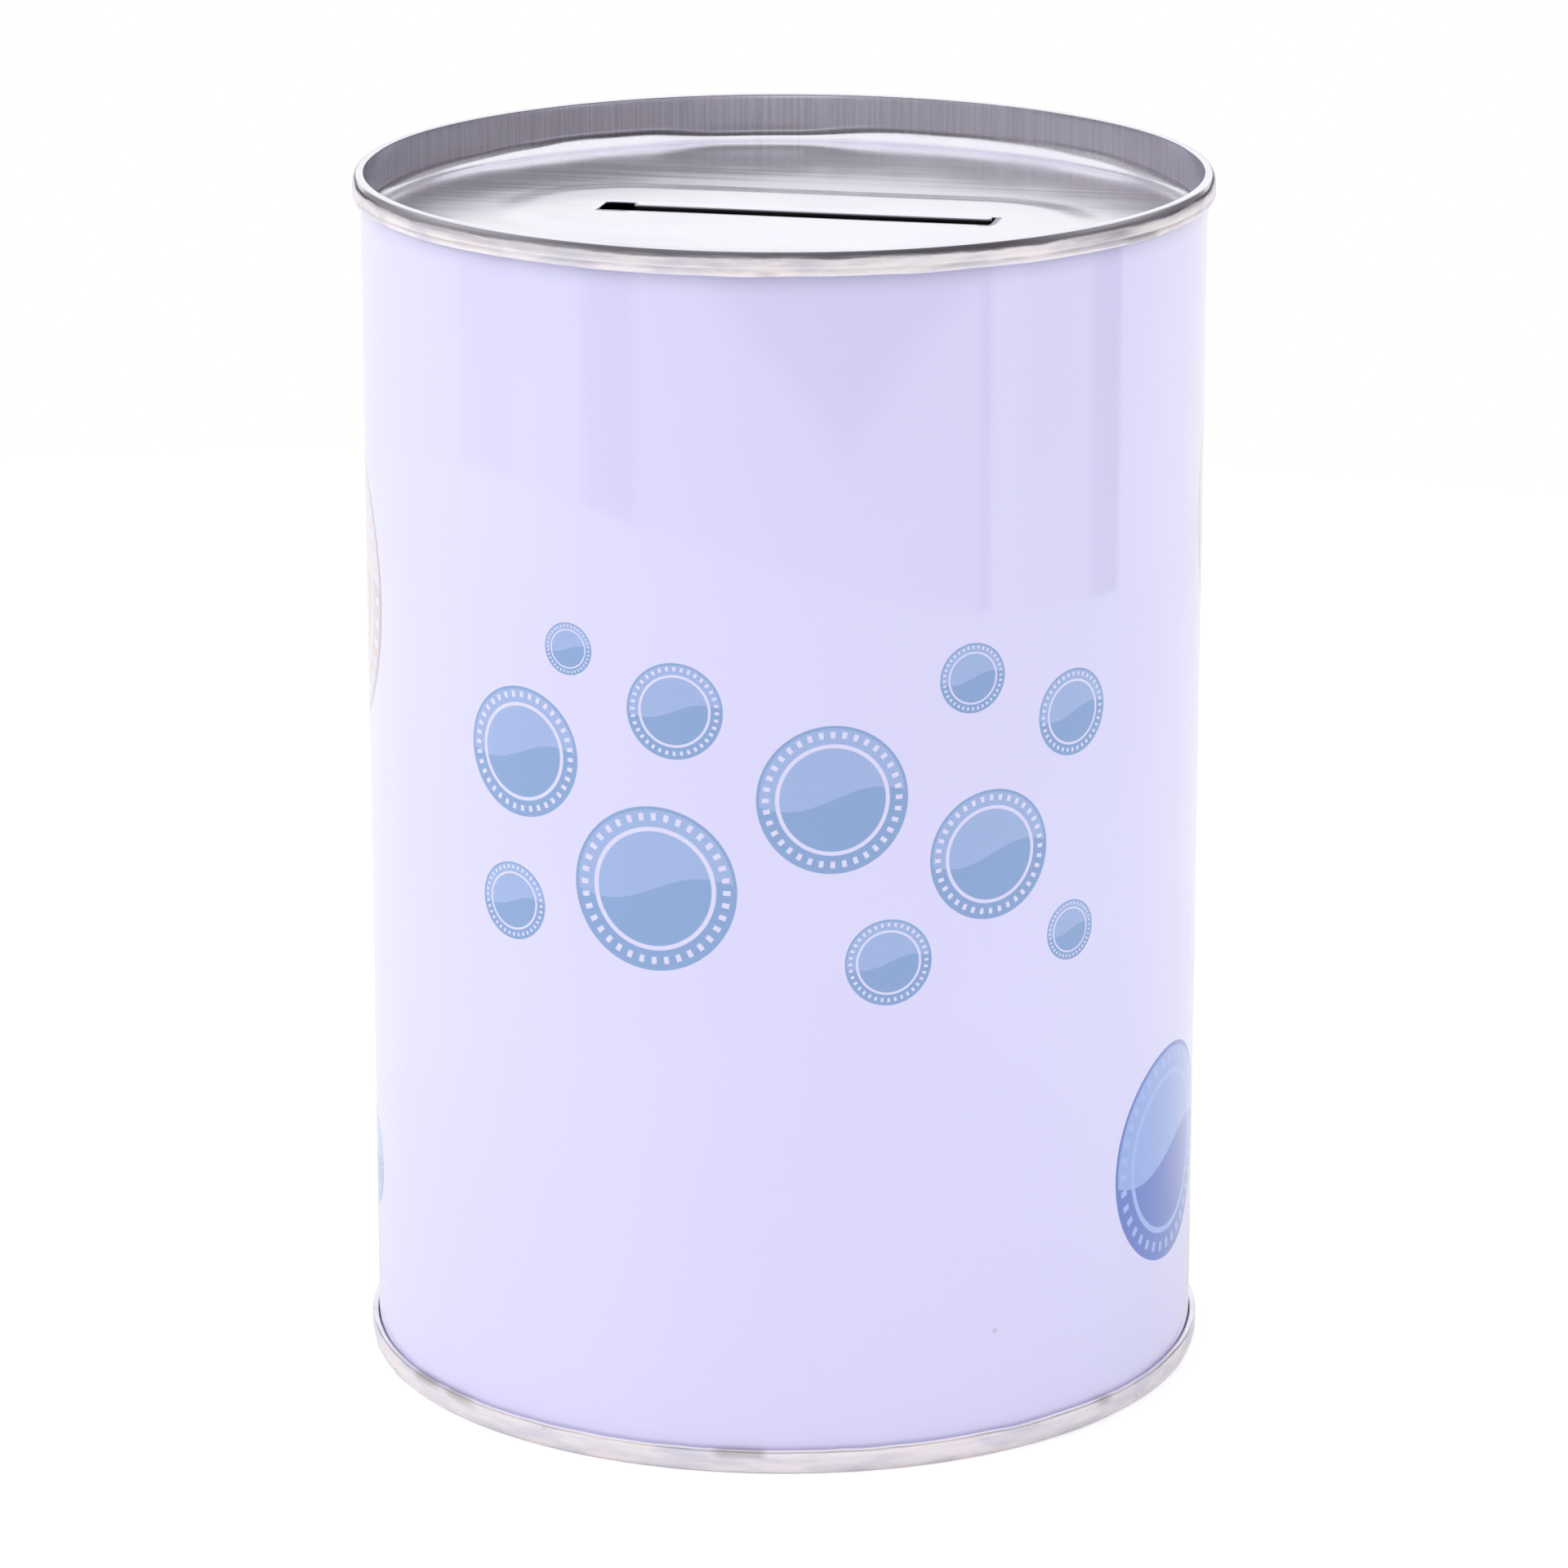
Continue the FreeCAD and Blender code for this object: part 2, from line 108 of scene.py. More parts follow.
class TinShape(bpy.types.PropertyGroup):
    """Sizes of the rolled body and its two ends."""

    seam_radius: size("Seam radius", "Outside of the seams", SEAM_RADIUS)
    height: size("Height", "From the table to the top crest", TOP_HIGH.z - ROUNDING_ROOM)
    plate: size("Plate", "Thickness of the tinplate", 0.2 * MM)
    film: size("Film", "Room between two layers of a seam", 0.09 * MM)
    seam_height: size("Seam height", "Height of the folded seams", 3.0 * MM)
    crest_radius: size("Crest radius", "Rounding of a crest's outer corner", 0.45 * MM)
    crest_inner: size("Crest inner", "Rounding of a crest's inner corner", 0.2 * MM)
    curl_inner: size("Curl inner", "Rounding of a folded edge's inner corner", 0.2 * MM)
    crest_flat: size("Crest flat", "Width of the flat ring on a crest", 0.15 * MM)
    shoulder_radius: size("Shoulder radius", "Rounding between crest and seam face", 2.4 * MM)
    shoulder_drop: size("Shoulder drop", "Shoulder's end below the crest", 1.52 * MM)
    groove_drop: size("Groove drop", "Seaming roll's line below the crest", 2.1 * MM)
    groove_width: size("Groove width", "Width of the seaming roll's line", 0.36 * MM)
    groove_depth: size("Groove depth", "Depth of the seaming roll's line", 0.06 * MM)
    cover_hook: size("Cover hook", "Length of the ends' hooks", 1.9 * MM)
    body_hook: size("Body hook", "Length of the body's hooks", 1.85 * MM)
    hook_top: size("Hook top", "Height of the body's upper curl", BODY_HIGH.z)
    hook_foot: size("Hook foot", "Height of the body's lower curl", BODY_LOW.z)
    top_depth: size("Top depth", "Top panel below the crest", 5.7 * MM)
    top_sink: size("Top sink", "Rounding between the top panel and its wall", 1.6 * MM)
    oblong_offset: size("Oblong offset", "Shift of the oblong to the right", 1.5 * MM)
    oblong_straight: size("Oblong straight", "Straight part of the oblong's sides", 40.7 * MM)
    oblong_foot: size("Oblong foot", "Radius of the oblong's ends at its foot", 16.0 * MM)
    oblong_top: size("Oblong top", "Radius of the oblong's ends at its top", 11.3 * MM)
    oblong_rise: size("Oblong rise", "Top of the oblong above the panel", 0.22 * MM)
    slot_length: size("Slot length", "Length of the coin slot", 47.0 * MM)
    slot_gap: size("Slot gap", "Width of the coin slot between its lips", 4.12 * MM)
    slot_corner: size("Slot corner", "Rounding of the coin slot's corners", 0.6 * MM)
    lip_length: size("Lip length", "Length of the slot's turned-down lips", 43.0 * MM)
    lip_shift: size("Lip shift", "Shift of the lips to the right in the slot", 1.4 * MM)
    lip_depth: size("Lip depth", "How far the lips reach down", 1.1 * MM)
    lip_radius: size("Lip radius", "Rounding of the lips", 0.5 * MM)
    base_depth: size("Base depth", "Base panel above the table", 5.0 * MM)
    base_sink: size("Base sink", "Rounding between the base panel and its wall", 1.3 * MM)
    base_rise: size("Base rise", "Height of the base's expansion ring", 0.8 * MM)
    inner_step: size("Inner step", "Radius of the expansion ring's inner step", 33.0 * MM)
    outer_step: size("Outer step", "Radius of the expansion ring's outer step", 41.5 * MM)
    step_run: size("Step run", "Width of one step of the expansion ring", 3.2 * MM)
    weld_width: size("Weld width", "Width of the body's side weld", 1.2 * MM)
    weld_outside: size("Weld outside", "Height of the weld above the wall", 0.06 * MM)
    bare_margin: size("Bare margin", "Half of the unprinted strip along the weld", 4.0 * MM)
    front_turn: angle("Front turn", "Turn of the printed front from straight ahead", 12.3)
    body_wave: size("Body wave", "Unevenness of the body's wall", 0.035 * MM)
    panel_wave: size("Panel wave", "Unevenness of the top panel", 0.05 * MM)
    seam_dent: size("Seam dent", "Depth of the dents in the seams", 0.13 * MM)
    seam_wobble: size("Seam wobble", "Unevenness of the seams' folded edge", 0.15 * MM)


class PrintLook(bpy.types.PropertyGroup):
    """Colours of the printed body and the painted shade under its top seam."""

    ground: paint("Ground", "Lavender ground of the print", 220, 216, 251)
    pale_blue: paint("Pale blue", "Upper part of the front discs", 158, 180, 227)
    mid_blue: paint("Mid blue", "Lower part of the front discs", 126, 159, 208)
    strong_blue: paint("Strong blue", "Lower part of the deep blue discs", 74, 108, 196)
    clear_blue: paint("Clear blue", "Upper part of the deep blue discs", 150, 178, 236)
    blush: paint("Blush", "Upper part of the beige discs", 226, 206, 210)
    sand: paint("Sand", "Lower part of the beige discs", 206, 182, 184)
    outline: paint("Outline", "Line round the beige discs", 150, 138, 152)
    # Painted shade: the print is darkened below the top seam's foot, where the seam's overhang shades it.
    seam_shade_reach: size("Seam shade reach", "Spread of grime below the top seam", 2.6 * MM)
    seam_shade_level: share("Seam shade level", "Shade of the print under the top seam", 0.86)
    gloss: share("Gloss", "Strength of the clear varnish", 1.0)
    gloss_roughness: share("Gloss roughness", "Roughness of the clear varnish", 0.03)
    gloss_index: number("Gloss index", "Refractive index of the clear varnish", 1.65, min=1.0)


class TinLook(bpy.types.PropertyGroup):
    """Colours of the bare tin and of the sealing compound."""

    tin: paint("Tin", "Bright bare tin", 248, 246, 255)
    dull_tin: paint("Dull tin", "Clouded bare tin", 241, 238, 251)
    haze: share("Haze", "White haze in the top panel's shine", 0.14)
    # Painted shade: the lips' tin is dark to stand in for the dark inside of the tin that the lips mirror.
    lip_shade_tin: paint("Lip shade tin", "Tin of the slot's lips, painted dark as their shade", 84, 80, 86)
    darkest_lip_shade: paint("Dark tin", "Darkest parts of the slot's lips", 48, 45, 50)
    seam: paint("Seam", "Matt face of the seams", 252, 243, 243)
    grey_seam: paint("Grey seam", "Greyer blotches of the seams' face", 224, 219, 228)
    front_matt: share("Front matt", "How matt the top seam's face is in front", 0.9)
    seam_matt: share("Seam matt", "How matt the seams' face is elsewhere", 0.6)
    stain: paint("Stain", "Brownish stain on the seams", 142, 130, 128)
    strip: paint("Strip", "Darker lines of the bare strip along the weld", 214, 211, 218)
    weld: paint("Weld", "Scorched tin of the side weld", 168, 162, 168)
    compound: paint("Compound", "Rubbery sealing compound", 92, 104, 98)
    pale_compound: paint("Pale compound", "Chalky bloom on the compound", 132, 142, 136)


class StageLook(bpy.types.PropertyGroup):
    """Floor, lamps and camera."""

    floor: paint("Floor", "Pale floor", 245, 245, 246)
    floor_radius: size("Floor radius", "Radius of the sheet under the tin", 480.0 * MM)
    floor_shift: size("Floor shift", "Shift of the sheet to the left", 50.0 * MM)
    floor_white: level("Floor white", "What the floor gains before the camera", 0.28)
    even_light: level("Even light", "Light from all round", 0.9)
    key_light: level("Key light", "Brightness of the left softbox", 2.2)
    fill_light: level("Fill light", "Brightness of the right softbox", 1.0)
    ceiling: level("Ceiling", "Brightness of the mirrored ceiling", 1.0)
    dim_room: level("Dim room", "Brightness of the mirrored room", 0.232)
    dim_lean: level("Dim lean", "How much darker the room is on the right", 0.08)
    dim_upper: level("Dim upper", "How much darker it is half-way up in front", 0.11)
    side_upper: level("Side upper", "How much brighter it is half-way up at the sides", 0.2)
    camera_turn: angle("Camera turn", "How far the camera stands to the right", 12.28)
    camera_tilt: angle("Camera tilt", "How far the camera looks down", 15.97)
    camera_away: size("Camera distance", "Level distance of the camera", 750.0 * MM)
    camera_height: size("Camera height", "Height of the camera above the table", 283.4 * MM)
    camera_lens: size("Camera lens", "Focal length of the camera", 148.875 * MM)


# Shared shapes


def tin_layer(shape):
    """One plate of a seam with the film beside it."""
    return shape.plate + shape.film


def wall_radius(shape):
    """Outside of the printed wall."""
    return shape.seam_radius - 3.0 * tin_layer(shape)


def chuck_radius(shape):
    """Inside of an end's upright wall, the innermost of a seam's five plates."""
    return shape.seam_radius - 4.0 * tin_layer(shape) - shape.plate


class Fold:
    """A line across the plate, drawn by extruding and spinning its last point."""

    def __init__(self, mesh, across, up):
        self.mesh = mesh
        self.tip = mesh.verts.new((across, 0.0, up))

    def run(self, across, up, parts=1):
        """Go straight to a point, in equal parts."""
        start = self.tip.co.copy()
        goal = Vector((across, 0.0, up))
        for part in range(parts):
            made = bmesh.ops.extrude_vert_indiv(self.mesh, verts=[self.tip])
            self.tip = made["verts"][0]
            self.tip.co = start.lerp(goal, (part + 1) / parts)

    def step(self, across, up, parts=8):
        """Go to a point in a smooth S."""
        start = self.tip.co.copy()
        for part in range(1, parts + 1):
            rise = smoothstep(0.0, parts, part)
            self.run(lerp(start.x, across, part / parts), lerp(start.z, up, rise))

    def bend(self, centre_across, centre_up, degrees, parts=BEND_STEPS):
        """Go round a centre; a positive turn is clockwise with the axis of the tin on the left."""
        centre = (centre_across, 0.0, centre_up)
        end = spin(self.mesh, [self.tip], centre, (0.0, 1.0, 0.0), math.radians(degrees), parts)
        self.tip = only(BMVert, end)[0]


def only(kind, items):
    return [item for item in items if isinstance(item, kind)]


def spin(mesh, items, centre, axis, turn, steps, merge=False):
    """Sweep parts of the mesh round an axis and return what stands at the end of the turn."""
    made = bmesh.ops.spin(mesh, geom=items, cent=centre, axis=axis, angle=turn, steps=steps, use_merge=merge)
    return made["geom_last"]


def turn_full(mesh):
    """Spin the drawn fold round the tin's axis."""
    spin(mesh, mesh.verts[:] + mesh.edges[:], MIDDLE, UP, math.tau, RING_STEPS, True)


def turn_from_weld(mesh, weld_turn, weld_angle):
    """Spin the drawn fold finely across the weld and then round the rest of the tin."""
    start = Matrix.Rotation(weld_turn - weld_angle / 2.0, 3, "Z")
    bmesh.ops.rotate(mesh, verts=mesh.verts, cent=MIDDLE, matrix=start)
    end = mesh.verts[:] + mesh.edges[:]
    for turn, steps in ((weld_angle, WELD_STEPS), (math.tau - weld_angle, RING_STEPS)):
        end = spin(mesh, end, MIDDLE, UP, turn, steps)


def face_outwards(mesh, radius, up):
    """Merge the doubles, then turn all faces so that the one nearest to an outside point faces out."""
    bmesh.ops.remove_doubles(mesh, verts=mesh.verts, dist=MERGE_GAP)
    bmesh.ops.recalc_face_normals(mesh, faces=mesh.faces)
    mesh.normal_update()
    outside = Vector((radius, 0.0, up))
    nearest = min(mesh.faces, key=lambda face: (face.calc_center_median() - outside).length)
    if nearest.normal.x < 0.0:
        bmesh.ops.reverse_faces(mesh, faces=mesh.faces)


def make_object(mesh, name, materials):
    """Put the mesh and its materials into a new object of the scene."""
    data = bpy.data.meshes.new(name)
    mesh.to_mesh(data)
    mesh.free()
    for material in materials:
        data.materials.append(material)
    made = bpy.data.objects.new(name, data)
    bpy.context.scene.collection.objects.link(made)
    return made


def finish_piece(mesh, name, materials, node, thickness, inside_material=0):
    """Make an object of the mesh, give it the plate's thickness and let it ride on the frame."""
    for face in mesh.faces:
        face.smooth = True
    piece = make_object(mesh, name, materials)
    wall = piece.modifiers.new("plate", "SOLIDIFY")
    wall.thickness = thickness
    wall.offset = -1.0
    wall.use_even_offset = True
    wall.material_offset = inside_material
    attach(piece, "root")
    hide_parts(node)


# Body

BODY_LOOPS = 44
BODY_WAVES_ROUND = 2.2
BODY_WAVES_UP = 14.0
BODY_WAVE_FADE = 12.0 * MM
WELD_FADE = 2.0 * MM
# Shares of the weld's width: what is spun finely, and where its ridge falls off on either side
WELD_SPAN = 2.4
WELD_EDGE = (0.3, 0.55)


def draw_body_fold(mesh, shape):
    """Outside face of the body, from hook tip to hook tip."""
    wall = wall_radius(shape)
    curl = tin_layer(shape) - shape.plate / 2.0
    hook = wall + 2.0 * curl
    top = shape.hook_top - curl - shape.plate
    foot = shape.hook_foot + curl + shape.plate
    fold = Fold(mesh, hook, shape.hook_foot + shape.body_hook)
    fold.run(hook, foot)
    fold.bend(wall + curl, foot, 180.0)
    fold.run(wall, shape.seam_height)
    fold.run(wall, shape.height - shape.seam_height, BODY_LOOPS)
    fold.run(wall, top)
    fold.bend(wall + curl, top, 180.0)
    fold.run(hook, shape.hook_top - shape.body_hook)


def wave_body(mesh, shape, weld_turn):
    """Let the wall roll a little out of true and raise the weld."""
    wall = wall_radius(shape)
    middle = shape.height / 2.0
    reach = middle - shape.seam_height
    for vert in mesh.verts:
        flat = vert.co.to_2d()
        if flat.length > wall + shape.film or abs(vert.co.z - middle) > reach:
            continue
        out = flat.normalized()
        from_seam = reach - abs(vert.co.z - middle)
        spot = Vector((out.x * BODY_WAVES_ROUND, out.y * BODY_WAVES_ROUND, vert.co.z * BODY_WAVES_UP))
        wave = noise.noise(spot) * shape.body_wave * smoothstep(0.0, BODY_WAVE_FADE, from_seam)
        along = wall * (math.atan2(flat.y, flat.x) - weld_turn)
        ridge = 1.0 - smoothstep(*WELD_EDGE, abs(along) / shape.weld_width)
        lift = smoothstep(0.0, WELD_FADE, from_seam) * ridge * shape.weld_outside
        vert.co.xy = out * (flat.length + wave + lift)


def build_can_body(shape):
    """Rolled and welded body with its hooks."""
    mesh = bmesh.new()
    weld_turn = math.radians(90.0) + shape.front_turn
    draw_body_fold(mesh, shape)
    turn_from_weld(mesh, weld_turn, WELD_SPAN * shape.weld_width / wall_radius(shape))
    face_outwards(mesh, wall_radius(shape), shape.height / 2.0)
    wave_body(mesh, shape, weld_turn)
    materials = [printed_tin(shape), bare_tin("tin_inside", LINES_UPRIGHT, depth=0.0009 * MM)]
    finish_piece(mesh, "printed_body", materials, "can_body", shape.plate, 1)


# Ends

# Materials of an end, by their place in its list
WALL, SEAM, LIPS = 1, 2, 3
LIP_TURNED = 0.8
RING_MARGIN = 0.6 * MM
BASE_HUB = 0.4 * MM
BASE_LOOPS = 10
BASE_RING_LOOPS = 4
PANEL_LOOPS = 18
SLOPE_LOOPS = 14
CROWN_LOOPS = 10
WALL_LOOPS = 8
FACE_LOOPS = 3
PANEL_WAVES_BROAD = 55.0
PANEL_WAVES_CLOSE = 120.0
# Where the panel's waves grow, as shares of its radius, and their strength inside and beside the wall
PANEL_RIM = (0.72, 0.94)
PANEL_CALM = 0.35
PANEL_CLOSE_SHARE = 0.6
# Places where the bend at the foot of the top's wall is pressed flat, or tighter where the share is
# negative: degrees round, spread and share
FLANKS = (
    (78, 22, 0.5), (58, 20, 0.45), (107, 17, -0.5), (126, 16, 0.45), (140, 12, 0.3),
    (200, 20, 0.4), (255, 30, 0.5), (320, 25, 0.5), (5, 16, 0.3),
)
FLANK_MOST = 0.55
FLANK_CORE = 0.3
# Noise of the seams' dents, nicks and sway: its scale round the tin and up it, and the share of each
DENTS_ROUND = 7.0
DENTS_UP = 450.0
DENT_SCALE, NICK_SCALE, SWAY_SCALE, SHIVER_SCALE = 2.0, 5.0, 0.8, 2.1
DENT_SHARE, NICK_SHARE, SHIVER_SHARE = 0.7, 0.4, 0.5
DENT_BIAS = 0.25
DENT_FADE = 0.6 * MM
TOP_SEED, BASE_SEED = 3.0, 8.0
SEAM_SKIN = 0.5 * MM


def draw_crest(fold, shape):
    """Over the crest: inner corner, flat ring, outer corner and sloping shoulder."""
    corner = shape.crest_radius
    shoulder = shape.shoulder_radius
    turn_in = shape.crest_inner
    inner = Vector((chuck_radius(shape) + turn_in, shape.height - turn_in))
    outer = Vector((chuck_radius(shape) + corner + shape.crest_flat, shape.height - corner))
    centre = Vector((shape.seam_radius - shoulder, shape.height - shape.shoulder_drop))
    apart = outer - centre
    slope = math.atan2(apart.x, apart.y) + math.acos((shoulder - corner) / apart.length)
    start = centre + shoulder * Vector((math.sin(slope), math.cos(slope)))
    fold.bend(inner.x, inner.y, 90.0)
    fold.run(outer.x, shape.height)
    fold.bend(outer.x, outer.y, math.degrees(slope))
    fold.run(start.x, start.y)
    fold.bend(centre.x, centre.y, 90.0 - math.degrees(slope), 2 * BEND_STEPS)


def draw_seam_fold(fold, shape, sink):
    """From a panel's edge up its wall, over the crest, down the seam and into the hook."""
    inner = chuck_radius(shape)
    outer = shape.seam_radius
    foot = shape.height - shape.seam_height
    foot_round = tin_layer(shape) + shape.plate / 2.0
    groove = shape.height - shape.groove_drop
    panel = fold.tip.co.z
    fold.run(inner - sink, panel, 2)
    fold.bend(inner - sink, panel + sink, -90.0, 2 * BEND_STEPS)
    fold.run(inner, shape.height - shape.crest_inner, WALL_LOOPS)
    draw_crest(fold, shape)
    fold.run(outer, groove + shape.groove_width / 2.0, FACE_LOOPS)
    fold.run(outer - shape.groove_depth, groove)
    fold.run(outer, groove - shape.groove_width / 2.0)
    fold.run(outer, foot + foot_round, FACE_LOOPS)
    fold.bend(outer - foot_round, foot + foot_round, 90.0)
    hook = outer - 2.0 * foot_round
    fold.run(hook + shape.curl_inner, foot)
    fold.bend(hook + shape.curl_inner, foot + shape.curl_inner, 90.0)
    fold.run(hook, foot + shape.cover_hook)


def rounded_box_point(turn, half_length, half_width, corner):
    """Point of a rounded box's outline. Each end takes a quarter of the turn and each side another."""
    eighths = (8.0 * turn) % 8.0
    quadrant = int(eighths // 2.0)
    along = eighths - 2.0 * quadrant
    if quadrant % 2:
        along = 2.0 - along
    straight = half_width - corner
    if along < 1.0:
        run = along * (straight + corner * math.pi / 2.0)
        if run < straight:
            across, up = half_length, run
        else:
            bend = (run - straight) / corner
            across = half_length - corner + corner * math.cos(bend)
            up = straight + corner * math.sin(bend)
    else:
        across = (half_length - corner) * (2.0 - along)
        up = half_width
    side = -1.0 if quadrant in (1, 2) else 1.0
    rise = -1.0 if quadrant in (2, 3) else 1.0
    return Vector((side * across, rise * up))


def inner_edges(mesh, radius):
    """Open edges of the mesh within a radius."""
    found = []
    for edge in mesh.edges:
        if edge.is_boundary and all(vert.co.to_2d().length < radius for vert in edge.verts):
            found.append(edge)
    return found


def step_in(mesh, edges, turns, place):
    """Extrude a loop of edges to where place puts each of its turns."""
    made = bmesh.ops.extrude_edge_only(mesh, edges=edges)
    for vert in only(BMVert, made["geom"]):
        vert.co = place(vert[turns])
    return only(BMEdge, made["geom"])


def draw_top_panel(mesh, shape, ring_radius):
    """Flat panel, raised oblong and slot, stepped inwards from the end's ring."""
    panel = shape.height - shape.top_depth
    crown = panel + shape.oblong_rise
    middle = Vector((shape.oblong_offset, 0.0))
    half_straight = shape.oblong_straight / 2.0
    slot_width = shape.slot_gap / 2.0 + shape.lip_radius
    foot_box = (half_straight + shape.oblong_foot, shape.oblong_foot, shape.oblong_foot)
    top_box = (half_straight + shape.oblong_top, shape.oblong_top, shape.oblong_top)
    slot_box = (shape.slot_length / 2.0, slot_width, shape.slot_corner)
    turns = mesh.verts.layers.float.new("turn")
    for vert in mesh.verts:
        vert[turns] = (math.atan2(vert.co.y, vert.co.x) / math.tau) % 1.0

    def on_panel(turn, part):
        ring = Vector((math.cos(math.tau * turn), math.sin(math.tau * turn))) * ring_radius
        foot = middle + rounded_box_point(turn, *foot_box)
        return ring.lerp(foot, part).to_3d() + UP * panel

    def on_slope(turn, part):
        box = [lerp(low, high, part) for low, high in zip(foot_box, top_box)]
        up = panel + shape.oblong_rise * smoothstep(0.0, 1.0, part)
        return (middle + rounded_box_point(turn, *box)).to_3d() + UP * up

    def on_crown(turn, part):
        box = [lerp(low, high, part) for low, high in zip(top_box, slot_box)]
        return (middle + rounded_box_point(turn, *box)).to_3d() + UP * crown

    edges = inner_edges(mesh, ring_radius + MERGE_GAP)
    for place, parts in ((on_panel, PANEL_LOOPS), (on_slope, SLOPE_LOOPS), (on_crown, CROWN_LOOPS)):
        for part in range(1, parts + 1):
            edges = step_in(mesh, edges, turns, lambda turn: place(turn, part / parts))
    mesh.verts.layers.float.remove(turns)
    return slot_width, crown


def turn_lips_down(mesh, shape, slot_width, crown):
    """Fold the long sides of the slot down into lips."""
    middle = shape.oblong_offset + shape.lip_shift
    reach = shape.lip_length / 2.0 + MERGE_GAP
    for side in (1.0, -1.0):
        edges = []
        for edge in inner_edges(mesh, shape.slot_length):
            inside = [abs(vert.co.x - middle) < reach for vert in edge.verts]
            beside = [side * vert.co.y > slot_width - MERGE_GAP for vert in edge.verts]
            if all(inside + beside):
                edges.append(edge)
        verts = list(dict.fromkeys(vert for edge in edges for vert in edge.verts))
        centre = (0.0, side * slot_width, crown - shape.lip_radius)
        end = spin(mesh, verts + edges, centre, (1.0, 0.0, 0.0), side * math.radians(90.0), BEND_STEPS)
        skirt = bmesh.ops.extrude_edge_only(mesh, edges=only(BMEdge, end))
        down = UP * (shape.lip_radius - shape.lip_depth)
        bmesh.ops.translate(mesh, verts=only(BMVert, skirt["geom"]), vec=down)


def flank_share(flat):
    """How far the bend at the foot of the wall is pressed flat at a place."""
    turn = math.degrees(math.atan2(flat.y, flat.x))
    total = 0.0
    for place, spread, amount in FLANKS:
        apart = abs((turn - place + 180.0) % 360.0 - 180.0)
        total += amount * (1.0 - smoothstep(FLANK_CORE * spread, spread, apart))
    return min(FLANK_MOST, total)


def press_bend(mesh, shape):
    """Press the bend between panel and wall towards its chord, here more and there less."""
    edge = chuck_radius(shape) - shape.top_sink
    panel = shape.height - shape.top_depth
    for vert in mesh.verts:
        flat = vert.co.to_2d()
        across = (flat.length - edge) / shape.top_sink
        up = (vert.co.z - panel) / shape.top_sink
        if not (0.0 < across < 1.0 and 0.0 < up < 1.0):
            continue
        push = shape.top_sink * flank_share(flat) * (across - up) / 2.0
        vert.co.xy = flat.normalized() * (flat.length - push)
        vert.co.z += push


def wave_panel(mesh, shape):
    """Let the panel buckle a little, most of all beside the wall."""
    inner = chuck_radius(shape)
    panel = shape.height - shape.top_depth
    for vert in mesh.verts:
        radius = vert.co.to_2d().length
        if radius > inner - shape.plate / 2.0 or vert.co.z > panel + shape.top_sink:
            continue
        held = 1.0 - smoothstep(inner - shape.top_sink, inner, radius)
        rim = smoothstep(*PANEL_RIM, radius / inner)
        broad = noise.noise(vert.co * PANEL_WAVES_BROAD + UP)
        close = noise.noise(vert.co * PANEL_WAVES_CLOSE - UP)
        wave = lerp(PANEL_CALM * broad, broad + PANEL_CLOSE_SHARE * close, rim)
        vert.co.z += shape.panel_wave * wave * held


def dent_seam(mesh, shape, seed):
    """Press shallow dents into the seam's face and let its folded edge wander."""
    outer = shape.seam_radius
    foot = shape.height - shape.seam_height
    crest = shape.height - shape.crest_radius
    for vert in mesh.verts:
        flat = vert.co.to_2d()
        if flat.length < outer - 3.0 * tin_layer(shape) or vert.co.z > crest:
            continue
        out = flat.normalized()
        round_spot = Vector((out.x * DENTS_ROUND, out.y * DENTS_ROUND, seed))
        up_spot = UP * vert.co.z * DENTS_UP
        dent = noise.noise(round_spot * DENT_SCALE + up_spot)
        nick = noise.noise(round_spot * NICK_SCALE + up_spot)
        press = clamp(dent + DENT_BIAS) * DENT_SHARE + clamp(nick) * NICK_SHARE
        sway = noise.noise(round_spot * SWAY_SCALE) + SHIVER_SHARE * noise.noise(round_spot * SHIVER_SCALE)
        low = 1.0 - smoothstep(foot, crest, vert.co.z)
        if flat.length > outer - SEAM_SKIN:
            deep = smoothstep(0.0, DENT_FADE, crest - vert.co.z)
            vert.co.xy = out * (flat.length - min(1.0, press) * shape.seam_dent * deep)
        vert.co.z += sway * low * shape.seam_wobble


def mark_seam_faces(mesh, shape):
    """Give the upright wall and the outside of the seam their own materials."""
    inner = chuck_radius(shape)
    for face in mesh.faces:
        across = face.calc_center_median().to_2d().length
        if across > inner + shape.crest_radius / 2.0:
            face.material_index = SEAM
        elif across > inner - tin_layer(shape):
            face.material_index = WALL


def mark_lip_faces(mesh, shape, crown):
    """Give the turned-down part of the slot's lips their own material, which paints them dark as shade."""
    for face in mesh.faces:
        centre = face.calc_center_median()
        if centre.to_2d().length < shape.slot_length and centre.z < crown - LIP_TURNED * shape.lip_radius:
            face.material_index = LIPS


